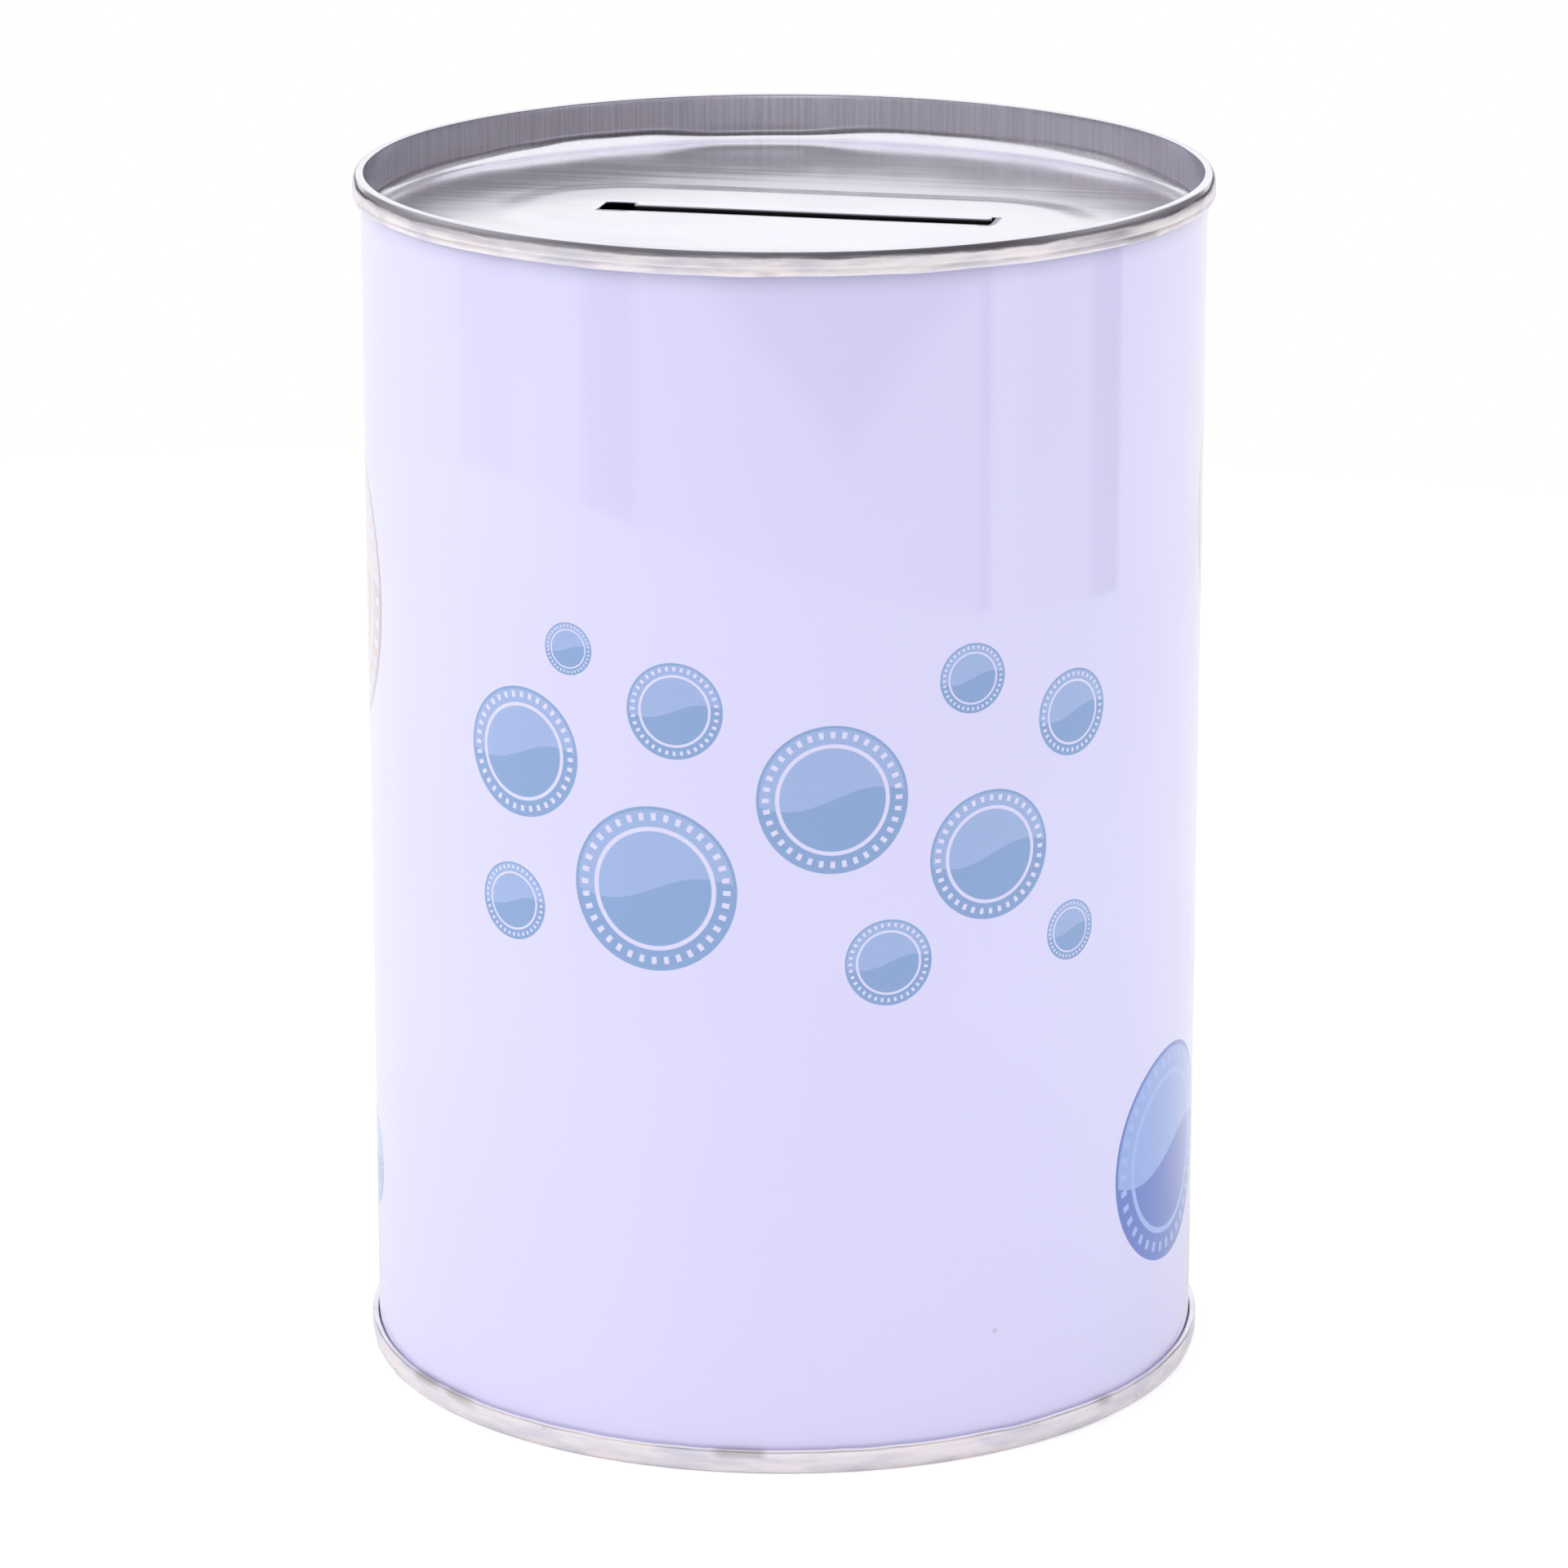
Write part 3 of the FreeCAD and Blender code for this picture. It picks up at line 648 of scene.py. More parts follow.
def build_top_end(shape):
    """Slotted top end with its seam."""
    look = bpy.context.scene.tin_look
    mesh = bmesh.new()
    ring_radius = chuck_radius(shape) - shape.top_sink - RING_MARGIN
    fold = Fold(mesh, ring_radius, shape.height - shape.top_depth)
    draw_seam_fold(fold, shape, shape.top_sink)
    turn_full(mesh)
    slot_width, crown = draw_top_panel(mesh, shape, ring_radius)
    turn_lips_down(mesh, shape, slot_width, crown)
    face_outwards(mesh, shape.seam_radius, shape.height - shape.seam_height / 2.0)
    mark_seam_faces(mesh, shape)
    mark_lip_faces(mesh, shape, crown)
    press_bend(mesh, shape)
    wave_panel(mesh, shape)
    dent_seam(mesh, shape, TOP_SEED)
    # Painted shade: the lips take dark tones in place of the dark inside that they would mirror.
    lip_shade_tones = (look.lip_shade_tin, look.darkest_lip_shade)
    materials = [
        bare_tin("tin_panel", LINES_ACROSS, depth=0.0005 * MM, haze=look.haze, darkest=0.97),
        bare_tin("tin_wall", LINES_UPRIGHT, depth=0.0011 * MM, darkest=0.9),
        seam_tin(shape, "tin_top_seam", TOP_HIGH.z, TOP_RIM, look.front_matt),
        bare_tin("tin_slot_lips_shade", LINES_ACROSS, depth=0.001 * MM, tones=lip_shade_tones, roughness=LIP_ROUGHNESS),
    ]
    finish_piece(mesh, "slotted_top", materials, "top_end", shape.plate)


def draw_base_fold(mesh, shape):
    """Half of the base panel with its expansion ring, drawn as if the base were a top."""
    panel = shape.height - shape.base_depth - shape.base_rise
    ring = panel + shape.base_rise
    half_run = shape.step_run / 2.0
    fold = Fold(mesh, BASE_HUB, panel)
    fold.run(shape.inner_step - half_run, panel, BASE_LOOPS)
    fold.step(shape.inner_step + half_run, ring)
    fold.run(shape.outer_step - half_run, ring, BASE_RING_LOOPS)
    fold.step(shape.outer_step + half_run, panel)
    return fold


def build_bottom_end(shape):
    """Plain bottom end with its seam, made as a top and then turned over."""
    look = bpy.context.scene.tin_look
    mesh = bmesh.new()
    fold = draw_base_fold(mesh, shape)
    draw_seam_fold(fold, shape, shape.base_sink)
    turn_full(mesh)
    bmesh.ops.holes_fill(mesh, edges=inner_edges(mesh, MM), sides=RING_STEPS)
    face_outwards(mesh, shape.seam_radius, shape.height - shape.seam_height / 2.0)
    mark_seam_faces(mesh, shape)
    dent_seam(mesh, shape, BASE_SEED)
    turn_over = Matrix.Rotation(math.pi, 3, "X")
    bmesh.ops.rotate(mesh, verts=mesh.verts, cent=(0.0, 0.0, TOP_HIGH.z / 2.0), matrix=turn_over)
    materials = [
        bare_tin("tin_base", LINES_ACROSS, depth=0.0006 * MM),
        bare_tin("tin_base_wall", LINES_UPRIGHT, depth=0.0009 * MM),
        seam_tin(shape, "tin_base_seam", 0.0, BASE_RIM, look.seam_matt),
    ]
    finish_piece(mesh, "plain_base", materials, "bottom_end", shape.plate)


# Materials

# Stretch of the noises that draw lines, smears, blotches and ripples
LINES_ACROSS = (25.0, 800.0, 800.0)
LINES_UPRIGHT = (2600.0, 2600.0, 45.0)
LINES_ROUND = (60.0, 60.0, 2600.0)
SMEARS_ROUND = (150.0, 150.0, 900.0)
BLOTCHES_ROUND = (130.0, 130.0, 520.0)
WELD_RIPPLES = (300.0, 300.0, 1500.0)
# Noise limits between which most looks change
SOFT = (0.3, 0.7)
WIDE = (0.25, 0.75)
WHITE = (1.0, 1.0, 1.0, 1.0)


def is_socket(value):
    return isinstance(value, bpy.types.NodeSocket)


def add(kind, inputs=None, tree=None, **settings):
    """Add a node. An input is a value, or the socket that feeds it and tells the tree."""
    inputs = inputs or {}
    if tree is None:
        tree = next(value.id_data for value in inputs.values() if is_socket(value))
    node = tree.nodes.new("ShaderNode" + kind)
    for key, value in settings.items():
        setattr(node, key, value)
    for key, value in inputs.items():
        if is_socket(value):
            tree.links.new(value, node.inputs[key])
        else:
            node.inputs[key].default_value = value
    return node


def maths(operation, *terms):
    return add("Math", dict(enumerate(terms)), operation=operation).outputs[0]


def product(first, *factors):
    """A value multiplied by one or more factors."""
    for factor in factors:
        first = maths("MULTIPLY", first, factor)
    return first


def distance(first, second):
    """How far two values are apart."""
    return maths("ABSOLUTE", maths("SUBTRACT", first, second))


def vectors(operation, *terms):
    return add("VectorMath", dict(enumerate(terms)), operation=operation).outputs


def band(value, low, high, at_low=0.0, at_high=1.0):
    """Smooth change of a value between two limits."""
    inputs = dict(enumerate((value, low, high, at_low, at_high)))
    return add("MapRange", inputs, interpolation_type="SMOOTHSTEP").outputs[0]


def tint(amount, under, over, mode="MIX"):
    return add("Mix", {0: amount, 6: under, 7: over}, data_type="RGBA", blend_type=mode).outputs[2]


def shaded(colour, shade):
    """A colour darkened by a shade, where 1 leaves it as it is."""
    return tint(1.0, colour, shade, "MULTIPLY")


def split(vector):
    return add("SeparateXYZ", {0: vector}).outputs


def turn_from_front(axes):
    """Turn round the upright axis, counted to the right from the front."""
    return maths("ARCTAN2", axes[0], product(axes[1], -1.0))


def object_place(tree, scale=(1.0, 1.0, 1.0), turn=0.0):
    """Object coordinates, stretched and turned about the tin's axis."""
    place = add("TexCoord", tree=tree).outputs["Object"]
    return add("Mapping", {"Vector": place, "Rotation": (0.0, 0.0, turn), "Scale": scale}).outputs[0]


def grain(tree, scale, detail, stretch=(1.0, 1.0, 1.0)):
    """Noise on the piece, stretched or not."""
    inputs = {"Vector": object_place(tree, stretch), "Scale": scale, "Detail": detail}
    return add("TexNoise", inputs).outputs["Fac"]


def lines(tree, stretch, detail=4.0):
    """Noise that its stretch alone sets the scale of."""
    return grain(tree, 1.0, detail, stretch)


def bump(height, depth):
    return add("Bump", {"Height": height, "Distance": depth, "Strength": 1.0}).outputs[0]


def empty_tree(owner):
    """Node tree of a material or world, with nothing in it."""
    owner.use_nodes = True
    owner.node_tree.nodes.clear()
    return owner.node_tree


def new_material(name):
    material = bpy.data.materials.new(name)
    return material, empty_tree(material)


def show(shader, output="OutputMaterial"):
    """Make the shader the surface of its material or world."""
    add(output, {"Surface": shader})


def principled(inputs):
    """Show a Principled shader; one of its inputs at least is a socket."""
    show(add("BsdfPrincipled", inputs).outputs[0])


TIN_ROUGHNESS = 0.13
LIP_ROUGHNESS = 0.45
LINE_ROUGHNESS = 0.06
CLOUD_ROUGHNESS = 0.12
CLOUD_EDGE = (0.42, 0.72)
CLOUD_MOST = 0.5


def bare_tin(name, stretch, depth, tones=None, roughness=TIN_ROUGHNESS, haze=0.0, darkest=0.93):
    """Rolled tinplate of two tones with fine lines along one direction and a thin haze."""
    look = bpy.context.scene.tin_look
    bright, dull = tones or (look.tin, look.dull_tin)
    material, tree = new_material(name)
    streaks = lines(tree, stretch)
    clouded = band(grain(tree, scale=70.0, detail=4.0), *CLOUD_EDGE, 0.0, CLOUD_MOST)
    colour = tint(clouded, bright, dull)
    rough = band(streaks, *WIDE, roughness, roughness + LINE_ROUGHNESS)
    principled({
        "Base Color": shaded(colour, band(streaks, *SOFT, darkest, 1.0)),
        "Roughness": maths("MULTIPLY_ADD", clouded, CLOUD_ROUGHNESS, rough),
        "Normal": bump(streaks, depth),
        "Metallic": 1.0 - haze,
    })
    return material


# How far below its crest the top seam's bright rim reaches; the base seam has none
TOP_RIM = 0.9 * MM
BASE_RIM = -1.0 * MM
RIM_EDGE = (0.3 * MM, 0.65 * MM)
RIM_RAGGED = 0.9 * MM
FOOT_EDGE = (2.75 * MM, 2.92 * MM)
FOOT_MARK_EDGE = (2.2 * MM, 2.9 * MM)
SEAM_ROUGHNESS = (0.16, 0.22)
MATT_ROUGHNESS = 0.16
SEAM_GRAIN = 0.002 * MM
# Noise limits of the seams' smears, blotches, stains and dark foot marks, and how strong each gets
SMEAR_EDGE = (0.35, 0.7)
BLOTCH_EDGE = (0.4, 0.68)
PATCH_EDGE = (0.6, 0.76)
STAIN_EDGE = (0.5, 0.7)
FOOT_MARK_CHOICE = (0.58, 0.68)
SMEARED_MATT = 0.6
FOOT_MATT = 0.3
STAIN_MOST = 0.5
FOOT_MARK_MOST = 0.45
STREAK_SHADE = 0.9
# Turns from the front between which the top seam's stronger mattness ends
FRONT_EDGE = (math.radians(34.0), math.radians(50.0))


def seam_marks(tree, specks, ragged):
    """How much stains, and dark marks along its foot, darken a seam."""
    patches = grain(tree, scale=160.0, detail=5.0)
    foot_mark_noise = grain(tree, scale=75.0, detail=2.0)
    stained = product(band(patches, *PATCH_EDGE), band(specks, *STAIN_EDGE, 0.0, STAIN_MOST))
    dark_foot_marks = product(band(foot_mark_noise, *FOOT_MARK_CHOICE, 0.0, FOOT_MARK_MOST), band(ragged, *FOOT_MARK_EDGE))
    return maths("MAXIMUM", stained, dark_foot_marks)


def seam_tin(shape, name, crest, bright_rim, front_matt):
    """Tin of a seam, matt below a bright rim, with blotches, stains and dark marks along its foot."""
    look = bpy.context.scene.tin_look
    material, tree = new_material(name)
    streaks = lines(tree, LINES_ROUND)
    smears = lines(tree, SMEARS_ROUND)
    blotches = lines(tree, BLOTCHES_ROUND)
    specks = grain(tree, scale=900.0, detail=3.0)
    axes = split(object_place(tree, turn=-shape.front_turn))
    from_crest = distance(axes[2], crest)
    turn = maths("ABSOLUTE", turn_from_front(axes))
    film = band(turn, *FRONT_EDGE, front_matt, look.seam_matt)
    ragged = maths("MULTIPLY_ADD", smears, RIM_RAGGED, from_crest)
    below_rim = band(ragged, *(bright_rim + edge for edge in RIM_EDGE))
    above_foot = band(from_crest, *FOOT_EDGE, 1.0, FOOT_MATT)
    matt = product(below_rim, band(smears, *SMEAR_EDGE, 1.0, SMEARED_MATT), above_foot)
    colour = tint(band(blotches, *BLOTCH_EDGE), look.seam, look.grey_seam)
    colour = tint(matt, look.tin, colour)
    colour = tint(seam_marks(tree, specks, ragged), colour, look.stain)
    rough = band(streaks, *WIDE, *SEAM_ROUGHNESS)
    principled({
        "Base Color": shaded(colour, band(streaks, *WIDE, STREAK_SHADE, 1.0)),
        "Roughness": maths("MULTIPLY_ADD", matt, MATT_ROUGHNESS, rough),
        "Metallic": maths("SUBTRACT", 1.0, product(matt, film)),
        "Normal": bump(maths("ADD", streaks, specks), SEAM_GRAIN),
    })
    return material


# Discs of the print by ink: distance round the tin from the middle of the front, height and radius (mm)
DISCS = {
    "front": (
        (-32, 84, 7.5), (-15, 70, 9.5), (-12.5, 91, 5.5), (5.5, 81, 8.5), (12, 61.5, 5),
        (24.5, 73, 7.5), (22, 94, 4), (36, 88, 5), (-33.5, 66, 4.5), (-25.5, 97, 3),
        (36, 62, 3.5), (112, 66, 10), (-128, 82, 11),
    ),
    "deep": (
        (58, 29, 13), (79, 49, 8), (-97, 52, 13), (-72, 24, 6),
        (-122, 116, 9), (126, 116, 9),
    ),
    "beige": (
        (-79, 95, 17), (86, 105, 18), (118, 30, 14), (-124, 28, 14),
    ),
}
# A disc's parts, as shares of its radius: the wave between its tones, its ring, ticked rim and outline
WAVE_BENDS = 2.6
WAVE_SWING = 0.16
WAVE_EDGE = (-0.01, 0.01)
RING_PLACE = 0.74
RING_EDGE = (0.035, 0.02)
TICKS = 36.0
TICK_EDGE = (0.25, 0.4)
TICK_INNER = (0.84, 0.86)
TICK_OUTER = (0.95, 0.93)
DISC_EDGE = (1.006, 0.994)
OUTLINE_EDGE = (0.026, 0.014)


def nearest_disc(sheet, discs):
    """Place on the nearest disc, in shares of its radius, and how far away its middle is."""
    best, least = None, None
    for across, up, radius in discs:
        grow = 1.0 / (radius * MM)
        shift = (-across / radius, -up / radius, 0.0)
        local = vectors("MULTIPLY_ADD", sheet, (grow, grow, 0.0), shift)[0]
        reach = vectors("LENGTH", local)["Value"]
        if best is None:
            best, least = local, reach
            continue
        nearer = maths("LESS_THAN", reach, least)
        best = add("Mix", {0: nearer, 4: best, 5: local}, data_type="VECTOR").outputs[1]
        least = maths("MINIMUM", reach, least)
    return best, least


def lay_discs(sheet, discs, screen, under, upper, lower, line, mark):
    """Print one ink set's coins over a colour: two tones that meet in a wave, a ring and a ticked rim."""
    local, reach = nearest_disc(sheet, discs)
    axes = split(local)
    swing = maths("SINE", product(axes[0], WAVE_BENDS))
    above = maths("MULTIPLY_ADD", swing, -WAVE_SWING, axes[1])
    upper = tint(screen, upper, lower)
    colour = tint(band(above, *WAVE_EDGE), lower, upper)
    colour = tint(band(distance(reach, RING_PLACE), *RING_EDGE), colour, mark)
    turn = product(maths("ARCTAN2", axes[1], axes[0]), TICKS)
    tick = band(maths("COSINE", turn), *TICK_EDGE)
    tick = product(tick, band(reach, *TICK_INNER), band(reach, *TICK_OUTER))
    colour = tint(tick, colour, mark)
    laid = tint(band(reach, *DISC_EDGE), under, colour)
    return tint(band(distance(reach, 1.0), *OUTLINE_EDGE), laid, line)


SPECK_CELLS = 75.0
SPECK_EDGE = (0.04, 0.02)
SPECK_CHOICE = (0.6, 0.9)
SPECK_INK = 0.3


def lay_specks(sheet, under, ink):
    """A few tiny dark specks, as dust leaves them under a varnish."""
    cells = add("TexVoronoi", {"Vector": sheet, "Scale": SPECK_CELLS}, feature="F1").outputs
    chosen = add("SeparateColor", {0: cells["Color"]}).outputs[0]
    speck = band(cells["Distance"], *SPECK_EDGE, 0.0, SPECK_INK)
    return tint(product(speck, band(chosen, *SPECK_CHOICE)), under, ink)


WORN_SHARE = 0.985
DOT_CELLS = {"Scale": 3300.0, "Randomness": 0.15}
DOT_EDGE = (0.3, 0.5)
DOT_INK = 0.45
BARE_EDGE = (0.1 * MM, -0.1 * MM)
SCORCH_EDGE = (0.2 * MM, -0.1 * MM)
SCORCH_LEAST = 0.6
PRINT_ROUGHNESS = (0.3, 0.38)
PEEL_SCALE = 420.0
PEEL_DEPTH = 0.004 * MM


def print_discs(look, sheet, colour):
    """Lay the discs of all inks over the ground; a screen of dots darkens their upper tones."""
    inks = {
        "front": (look.pale_blue, look.mid_blue, look.mid_blue, look.ground),
        "deep": (look.clear_blue, look.strong_blue, look.strong_blue, look.clear_blue),
        "beige": (look.blush, look.sand, look.outline, look.ground),
    }
    dots = add("TexVoronoi", {"Vector": sheet, **DOT_CELLS}, feature="F1")
    screen = band(dots.outputs["Distance"], *DOT_EDGE, DOT_INK, 0.0)
    for ink, discs in DISCS.items():
        colour = lay_discs(sheet, discs, screen, colour, *inks[ink])
    return colour


def weld_strip(tree, look, shape, margin):
    """Colour of the unprinted strip, scorched along the weld in its middle."""
    ripples = lines(tree, WELD_RIPPLES, detail=3.0)
    welded = band(margin, *(shape.weld_width / 2.0 + edge for edge in SCORCH_EDGE))
    scorched = product(welded, band(ripples, *SOFT, SCORCH_LEAST, 1.0))
    strip = tint(band(lines(tree, LINES_UPRIGHT), *SOFT), look.strip, look.dull_tin)
    return tint(scorched, strip, look.weld)


def printed_tin(shape):
    """Lavender print with plain coin discs under a clear varnish; bare tin beside the weld."""
    look = bpy.context.scene.print_look
    material, tree = new_material("lavender_print")
    radius = wall_radius(shape)
    axes = split(object_place(tree, turn=-shape.front_turn))
    across = product(turn_from_front(axes), radius)
    sheet = add("CombineXYZ", {0: across, 1: axes[2]}).outputs[0]

    clouds = grain(tree, scale=25.0, detail=3.0)
    worn_ground = tuple(WORN_SHARE * part for part in look.ground)
    colour = tint(band(clouds, *SOFT), look.ground, worn_ground)
    colour = print_discs(look, sheet, colour)
    colour = lay_specks(sheet, colour, look.outline)
    # Painted shade under the top seam: darkest at the seam's foot, fading out over its reach.
    from_seam = maths("SUBTRACT", shape.height - shape.seam_height, axes[2])
    painted_seam_shade = band(from_seam, 0.0, look.seam_shade_reach, look.seam_shade_level, 1.0)

    margin = maths("SUBTRACT", math.pi * radius, maths("ABSOLUTE", across))
    bare = band(margin, *(shape.bare_margin + edge for edge in BARE_EDGE))
    strip = weld_strip(tree, bpy.context.scene.tin_look, shape, margin)
    principled({
        "Base Color": tint(bare, shaded(colour, painted_seam_shade), strip),
        "Metallic": bare,
        "Roughness": band(clouds, *SOFT, *PRINT_ROUGHNESS),
        "Normal": bump(grain(tree, PEEL_SCALE, detail=2.0), PEEL_DEPTH),
        "Coat Weight": look.gloss,
        "Coat Roughness": look.gloss_roughness,
        "Coat IOR": look.gloss_index,
    })
    return material


COMPOUND_ROUGHNESS = (0.55, 0.75)
COMPOUND_GRAIN = 0.02 * MM
BLOOM_EDGE = (0.35, 0.7)


def sealing_compound():
    """Rubbery compound with a chalky bloom."""
    look = bpy.context.scene.tin_look
    material, tree = new_material("sealing_compound")
    clouds = grain(tree, scale=300.0, detail=5.0)
    principled({
        "Base Color": tint(band(clouds, *BLOOM_EDGE), look.compound, look.pale_compound),
        "Roughness": band(clouds, *SOFT, *COMPOUND_ROUGHNESS),
        "Normal": bump(clouds, COMPOUND_GRAIN),
    })
    return material


def dress_compound():
    """Give both compound rings their material."""
    material = sealing_compound()
    for node in ("top_seam_compound", "bottom_seam_compound"):
        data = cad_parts[node].data
        data.materials.clear()
        data.materials.append(material)


# Stage

EVEN_TINT = (0.98, 0.985, 1.0, 1.0)
# The studio that bright tin mirrors: how far behind the cove begins, how high the ceiling and the room's
# upper part begin, and where the room's sides begin
COVE_EDGE = (0.82, 0.88)
OVERHEAD_TILT = math.radians(11.0)
OVERHEAD_EDGE = (0.63, 0.71)
UPPER_EDGE = (0.24, 0.4)
SIDE_EDGE = (-0.6, 0.4)
# Power of the green channel, for a faint violet cast where the room is dim
DIM_CAST = 1.035
# What lies below the floor sheet's level: degrees round to the left from the camera, and its grey
ROOM_BANDS = (
    (0, 0.75), (40, 0.8), (42, 0.25), (54, 0.3), (57, 0.9), (77, 0.9), (80, 0.6), (96, 0.7),
    (99, 1.0), (256, 1.0), (258, 0.1), (267, 0.2), (270, 0.75), (291, 0.7), (294, 1.0),
    (302, 1.0), (303.5, 0.2), (305.5, 0.25), (307, 0.7), (360, 0.75),
)
# Dark wedge to the right of the camera: its middle, its half width at level height, how fast it narrows
WEDGE_TURN = math.radians(17.0)
WEDGE_REACH = 5.08
WEDGE_NARROWING = 22.4
WEDGE_SOFTNESS = 0.12
WEDGE_GREY = 0.08
SOFTBOX_AWAY = 1.1
SOFTBOX_SIZE = (1.1, 0.5)
SOFTBOX_TURN = math.radians(78.0)
SOFTBOX_RISE = math.radians(38.0)
SENSOR_MM = 36.0
NEAR_CLIP = 0.01


def build_floor(look):
    """Round pale sheet that shows as white and keeps the shadow."""
    mesh = bmesh.new()
    bmesh.ops.create_circle(mesh, cap_ends=True, segments=RING_STEPS, radius=look.floor_radius)
    left = Vector((-math.cos(look.camera_turn), -math.sin(look.camera_turn), 0.0))
    bmesh.ops.translate(mesh, verts=mesh.verts, vec=left * look.floor_shift)
    material, tree = new_material("pale_floor")
    matt = add("BsdfDiffuse", {"Color": look.floor}, tree).outputs[0]
    seen = product(add("LightPath", tree=tree).outputs["Is Camera Ray"], look.floor_white)
    glow = add("Emission", {"Strength": seen}).outputs[0]
    show(add("AddShader", {0: matt, 1: glow}).outputs[0])
    floor = make_object(mesh, "floor", [material])


def studio_level(tree, look):
    """What bright tin mirrors: a white cove behind, a white ceiling and a dimmer room round the camera."""
    way = add("TexCoord", tree=tree).outputs["Generated"]
    turn = (0.0, 0.0, -look.camera_turn)
    way = add("Mapping", {"Vector": way, "Rotation": turn}).outputs[0]
    axes = split(way)
    level_way = vectors("MULTIPLY", way, (1.0, 1.0, 0.0))[0]
    level_length = vectors("LENGTH", level_way)["Value"]
    back = maths("DIVIDE", axes[1], level_length)
    cove = band(back, *COVE_EDGE)
    ceiling_way = (0.0, math.sin(OVERHEAD_TILT), math.cos(OVERHEAD_TILT))
    lifted = vectors("DOT_PRODUCT", way, ceiling_way)["Value"]
    overhead = band(lifted, *OVERHEAD_EDGE, 0.0, look.ceiling)
    room = maths("MULTIPLY_ADD", axes[0], -look.dim_lean, look.dim_room)
    dimmer = band(back, *SIDE_EDGE, look.dim_upper, -look.side_upper)
    room = maths("SUBTRACT", room, band(axes[2], *UPPER_EDGE, 0.0, dimmer))
    above = maths("MAXIMUM", room, maths("MAXIMUM", cove, overhead))
    around = maths("DIVIDE", maths("ARCTAN2", axes[0], axes[1]), math.tau)
    ramp = add("ValToRGB", {0: maths("ADD", around, 0.5)})
    fill_ramp(ramp.color_ramp.elements, ROOM_BANDS)
    below = tint(dark_wedge(axes), ramp.outputs[0], (WEDGE_GREY, WEDGE_GREY, WEDGE_GREY, 1.0))
    grey = tint(maths("GREATER_THAN", axes[2], 0.0), below, above)
    green = maths("POWER", grey, DIM_CAST)
    return add("CombineColor", {0: grey, 1: green, 2: grey}).outputs[0]


def dark_wedge(axes):
    """Share of a dark wedge beside the camera that narrows downwards from the floor's level."""
    apart = distance(turn_from_front(axes), WEDGE_TURN)
    reach = maths("MULTIPLY_ADD", axes[2], WEDGE_NARROWING, WEDGE_REACH)
    return band(maths("SUBTRACT", apart, reach), WEDGE_SOFTNESS, -WEDGE_SOFTNESS)


def fill_ramp(elements, stops):
    """Set a ramp's grey stops, each a place in degrees of a full turn and a level."""
    while len(elements) < len(stops):
        elements.new(0.5)
    for element, (degrees, grey) in zip(elements, stops):
        element.position = degrees / 360.0
        element.color = (grey, grey, grey, 1.0)


def build_world(look):
    """White backdrop for the camera, a studio for the tin's reflections and even light for the rest."""
    world = bpy.data.worlds.new("studio")
    bpy.context.scene.world = world
    tree = empty_tree(world)
    path = add("LightPath", tree=tree).outputs
    studio = add("Background", {0: studio_level(tree, look), 1: 1.0}).outputs[0]
    even = add("Background", {0: EVEN_TINT, 1: look.even_light}, tree).outputs[0]
    white = add("Background", {0: WHITE, 1: 1.0}, tree).outputs[0]
    lit = add("MixShader", {0: path["Is Glossy Ray"], 1: even, 2: studio}).outputs[0]
    shown = maths("MAXIMUM", path["Is Camera Ray"], path["Is Transmission Ray"])
    show(add("MixShader", {0: shown, 1: lit, 2: white}).outputs[0], "OutputWorld")


def build_softbox(name, turn, brightness, aim):
    """Softbox beside the camera, aimed at the tin; its turn is seen from above."""
    data = bpy.data.lights.new(name, "AREA")
    data.shape = "RECTANGLE"
    data.size, data.size_y = SOFTBOX_SIZE
    data.energy = brightness * math.pi * data.size * data.size_y
    lamp = bpy.data.objects.new(name, data)
    away = SOFTBOX_AWAY * math.cos(SOFTBOX_RISE)
    lift = SOFTBOX_AWAY * math.sin(SOFTBOX_RISE)
    lamp.location = aim + Vector((away * math.sin(turn), -away * math.cos(turn), lift))
    lamp.rotation_euler = (aim - lamp.location).to_track_quat("-Z", "Y").to_euler()
    lamp.visible_glossy = False
    bpy.context.scene.collection.objects.link(lamp)


def build_camera(look):
    data = bpy.data.cameras.new("camera")
    data.lens = look.camera_lens / MM
    data.sensor_width = SENSOR_MM
    data.clip_start = NEAR_CLIP
    camera = bpy.data.objects.new("camera", data)
    camera.location = (
        look.camera_away * math.sin(look.camera_turn),
        -look.camera_away * math.cos(look.camera_turn),
        look.camera_height,
    )
    camera.rotation_euler = (math.radians(90.0) - look.camera_tilt, 0.0, look.camera_turn)
    bpy.context.scene.collection.objects.link(camera)
    bpy.context.scene.camera = camera


def build_stage(look):
    """Floor, world, two softboxes and the camera."""
    aim = UP * TOP_HIGH.z
    build_floor(look)
    build_world(look)
    build_softbox("key_softbox", look.camera_turn - SOFTBOX_TURN, look.key_light, aim)
    build_softbox("fill_softbox", look.camera_turn + SOFTBOX_TURN, look.fill_light, aim)
    build_camera(look)
    bpy.context.scene.view_settings.view_transform = "Standard"


# Add-on


class MONEYBOX_OT_can_body(bpy.types.Operator):
    """Build the printed body"""

    bl_idname = "moneybox.can_body"
    bl_label = "Printed body"

    def execute(self, context):
        build_can_body(context.scene.tin_shape)
        return {"FINISHED"}


class MONEYBOX_OT_top_end(bpy.types.Operator):
    """Build the slotted top end"""

    bl_idname = "moneybox.top_end"
    bl_label = "Slotted top"

    def execute(self, context):
        build_top_end(context.scene.tin_shape)
        return {"FINISHED"}


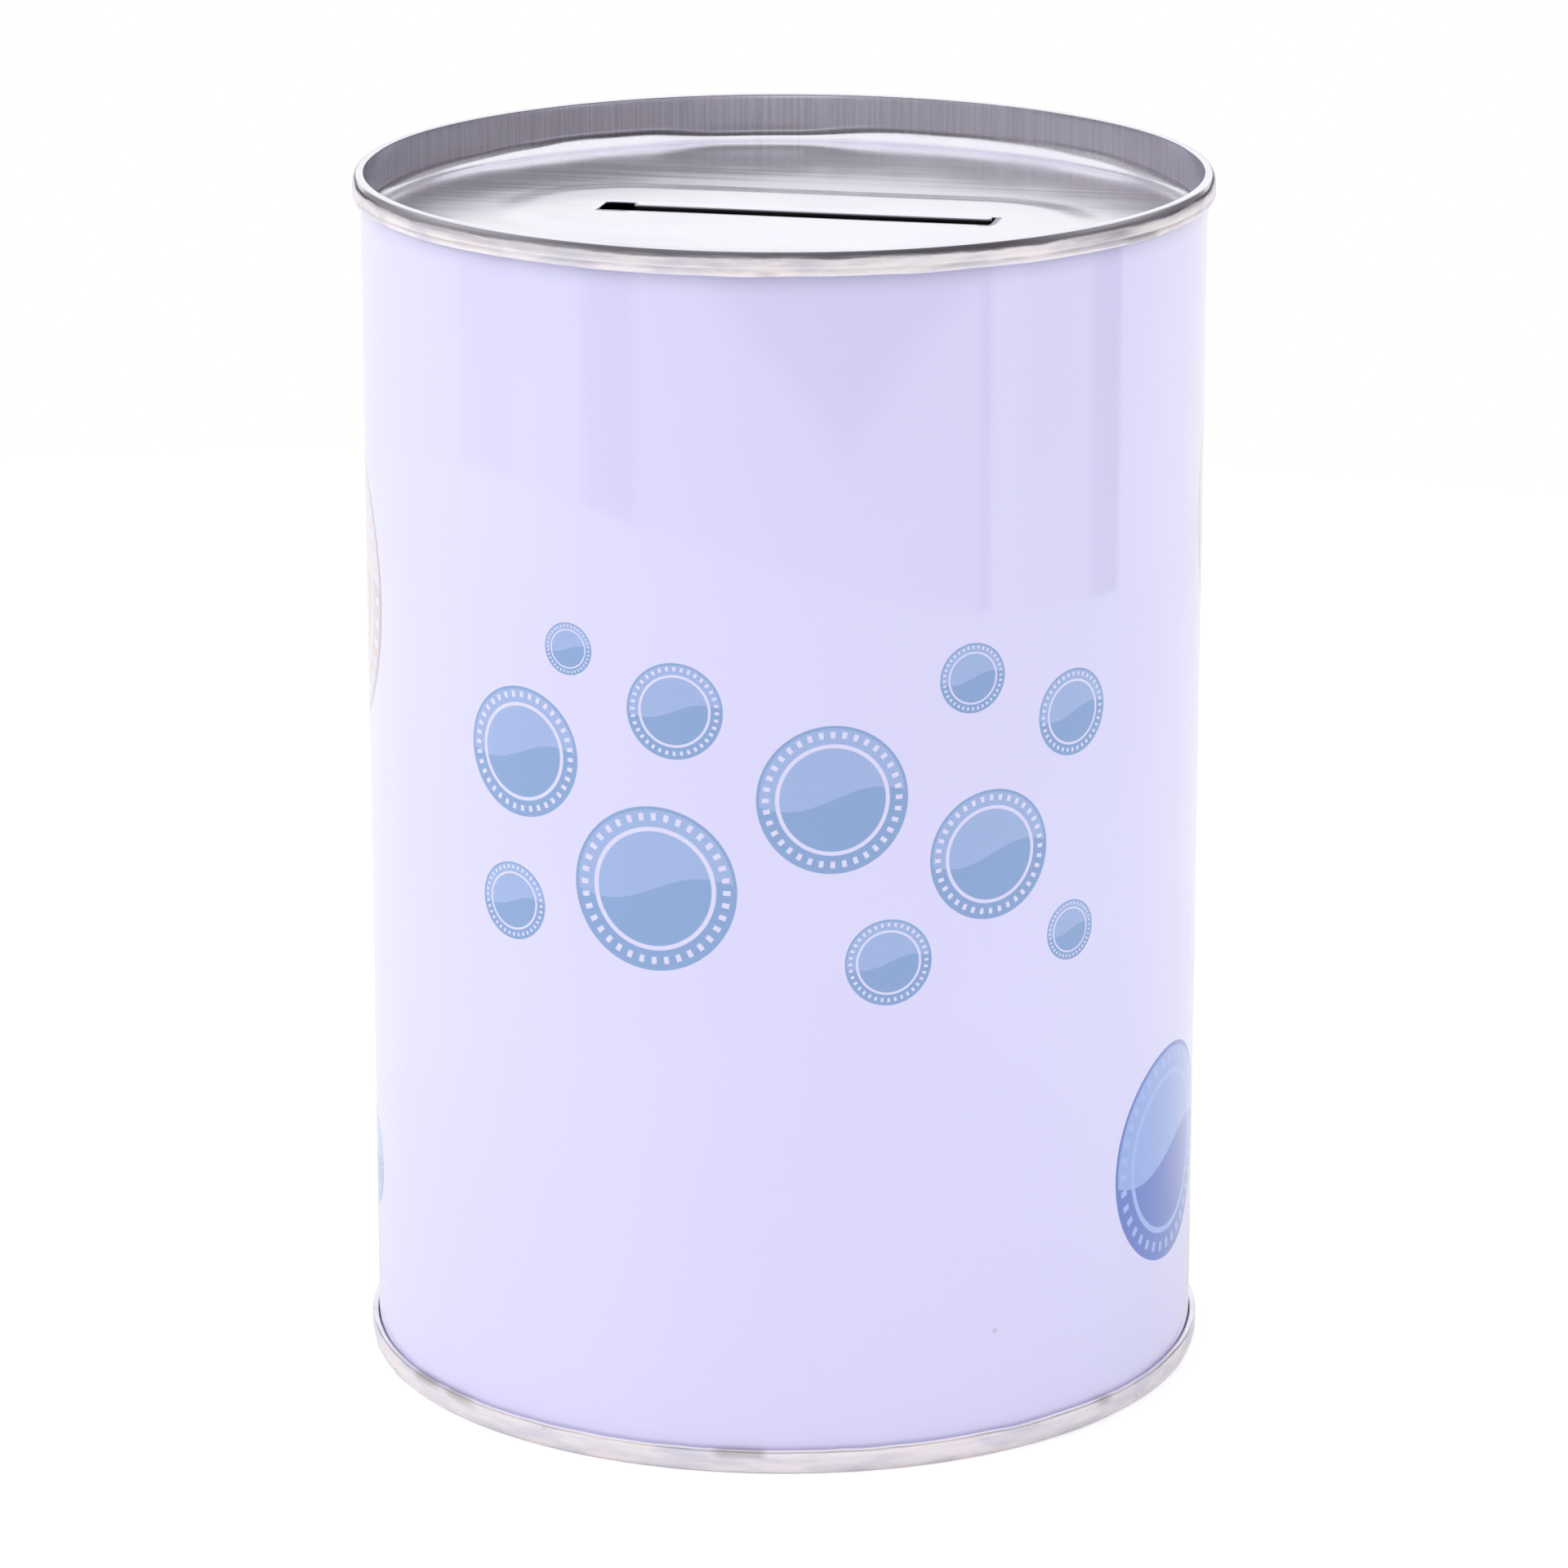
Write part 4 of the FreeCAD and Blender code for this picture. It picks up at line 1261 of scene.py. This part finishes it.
class MONEYBOX_OT_bottom_end(bpy.types.Operator):
    """Build the plain bottom end"""

    bl_idname = "moneybox.bottom_end"
    bl_label = "Plain base"

    def execute(self, context):
        build_bottom_end(context.scene.tin_shape)
        return {"FINISHED"}


class MONEYBOX_OT_compound(bpy.types.Operator):
    """Give the sealing compound of both seams its finish"""

    bl_idname = "moneybox.compound"
    bl_label = "Sealing compound"

    def execute(self, context):
        dress_compound()
        return {"FINISHED"}


class MONEYBOX_OT_stage(bpy.types.Operator):
    """Set up floor, light and camera"""

    bl_idname = "moneybox.stage"
    bl_label = "Stage"

    def execute(self, context):
        build_stage(context.scene.stage_look)
        return {"FINISHED"}


class MONEYBOX_PT_panel(bpy.types.Panel):
    """Lists the pieces of the money box with their sizes and colours"""

    bl_idname = "MONEYBOX_PT_panel"
    bl_label = "Tin money box"
    bl_space_type = "VIEW_3D"
    bl_region_type = "UI"
    bl_category = "Money Box"

    def draw(self, context):
        for operator in OPERATORS:
            self.layout.operator(operator.bl_idname)
        for name, group in GROUPS.items():
            box = self.layout.box()
            for key in group.__annotations__:
                box.prop(getattr(context.scene, name), key)


OPERATORS = (
    MONEYBOX_OT_can_body,
    MONEYBOX_OT_top_end,
    MONEYBOX_OT_bottom_end,
    MONEYBOX_OT_compound,
    MONEYBOX_OT_stage,
)
GROUPS = {"tin_shape": TinShape, "print_look": PrintLook, "tin_look": TinLook, "stage_look": StageLook}


def register():
    for name, group in GROUPS.items():
        bpy.utils.register_class(group)
        setattr(bpy.types.Scene, name, bpy.props.PointerProperty(type=group))
    for operator in OPERATORS:
        bpy.utils.register_class(operator)
    bpy.utils.register_class(MONEYBOX_PT_panel)


def unregister():
    bpy.utils.unregister_class(MONEYBOX_PT_panel)
    for operator in reversed(OPERATORS):
        bpy.utils.unregister_class(operator)
    for name, group in reversed(GROUPS.items()):
        delattr(bpy.types.Scene, name)
        bpy.utils.unregister_class(group)


def main():
    """Build every piece and the stage."""
    register()
    bpy.ops.moneybox.can_body()
    bpy.ops.moneybox.top_end()
    bpy.ops.moneybox.bottom_end()
    bpy.ops.moneybox.compound()
    bpy.ops.moneybox.stage()


if __name__ == "__main__":
    main()
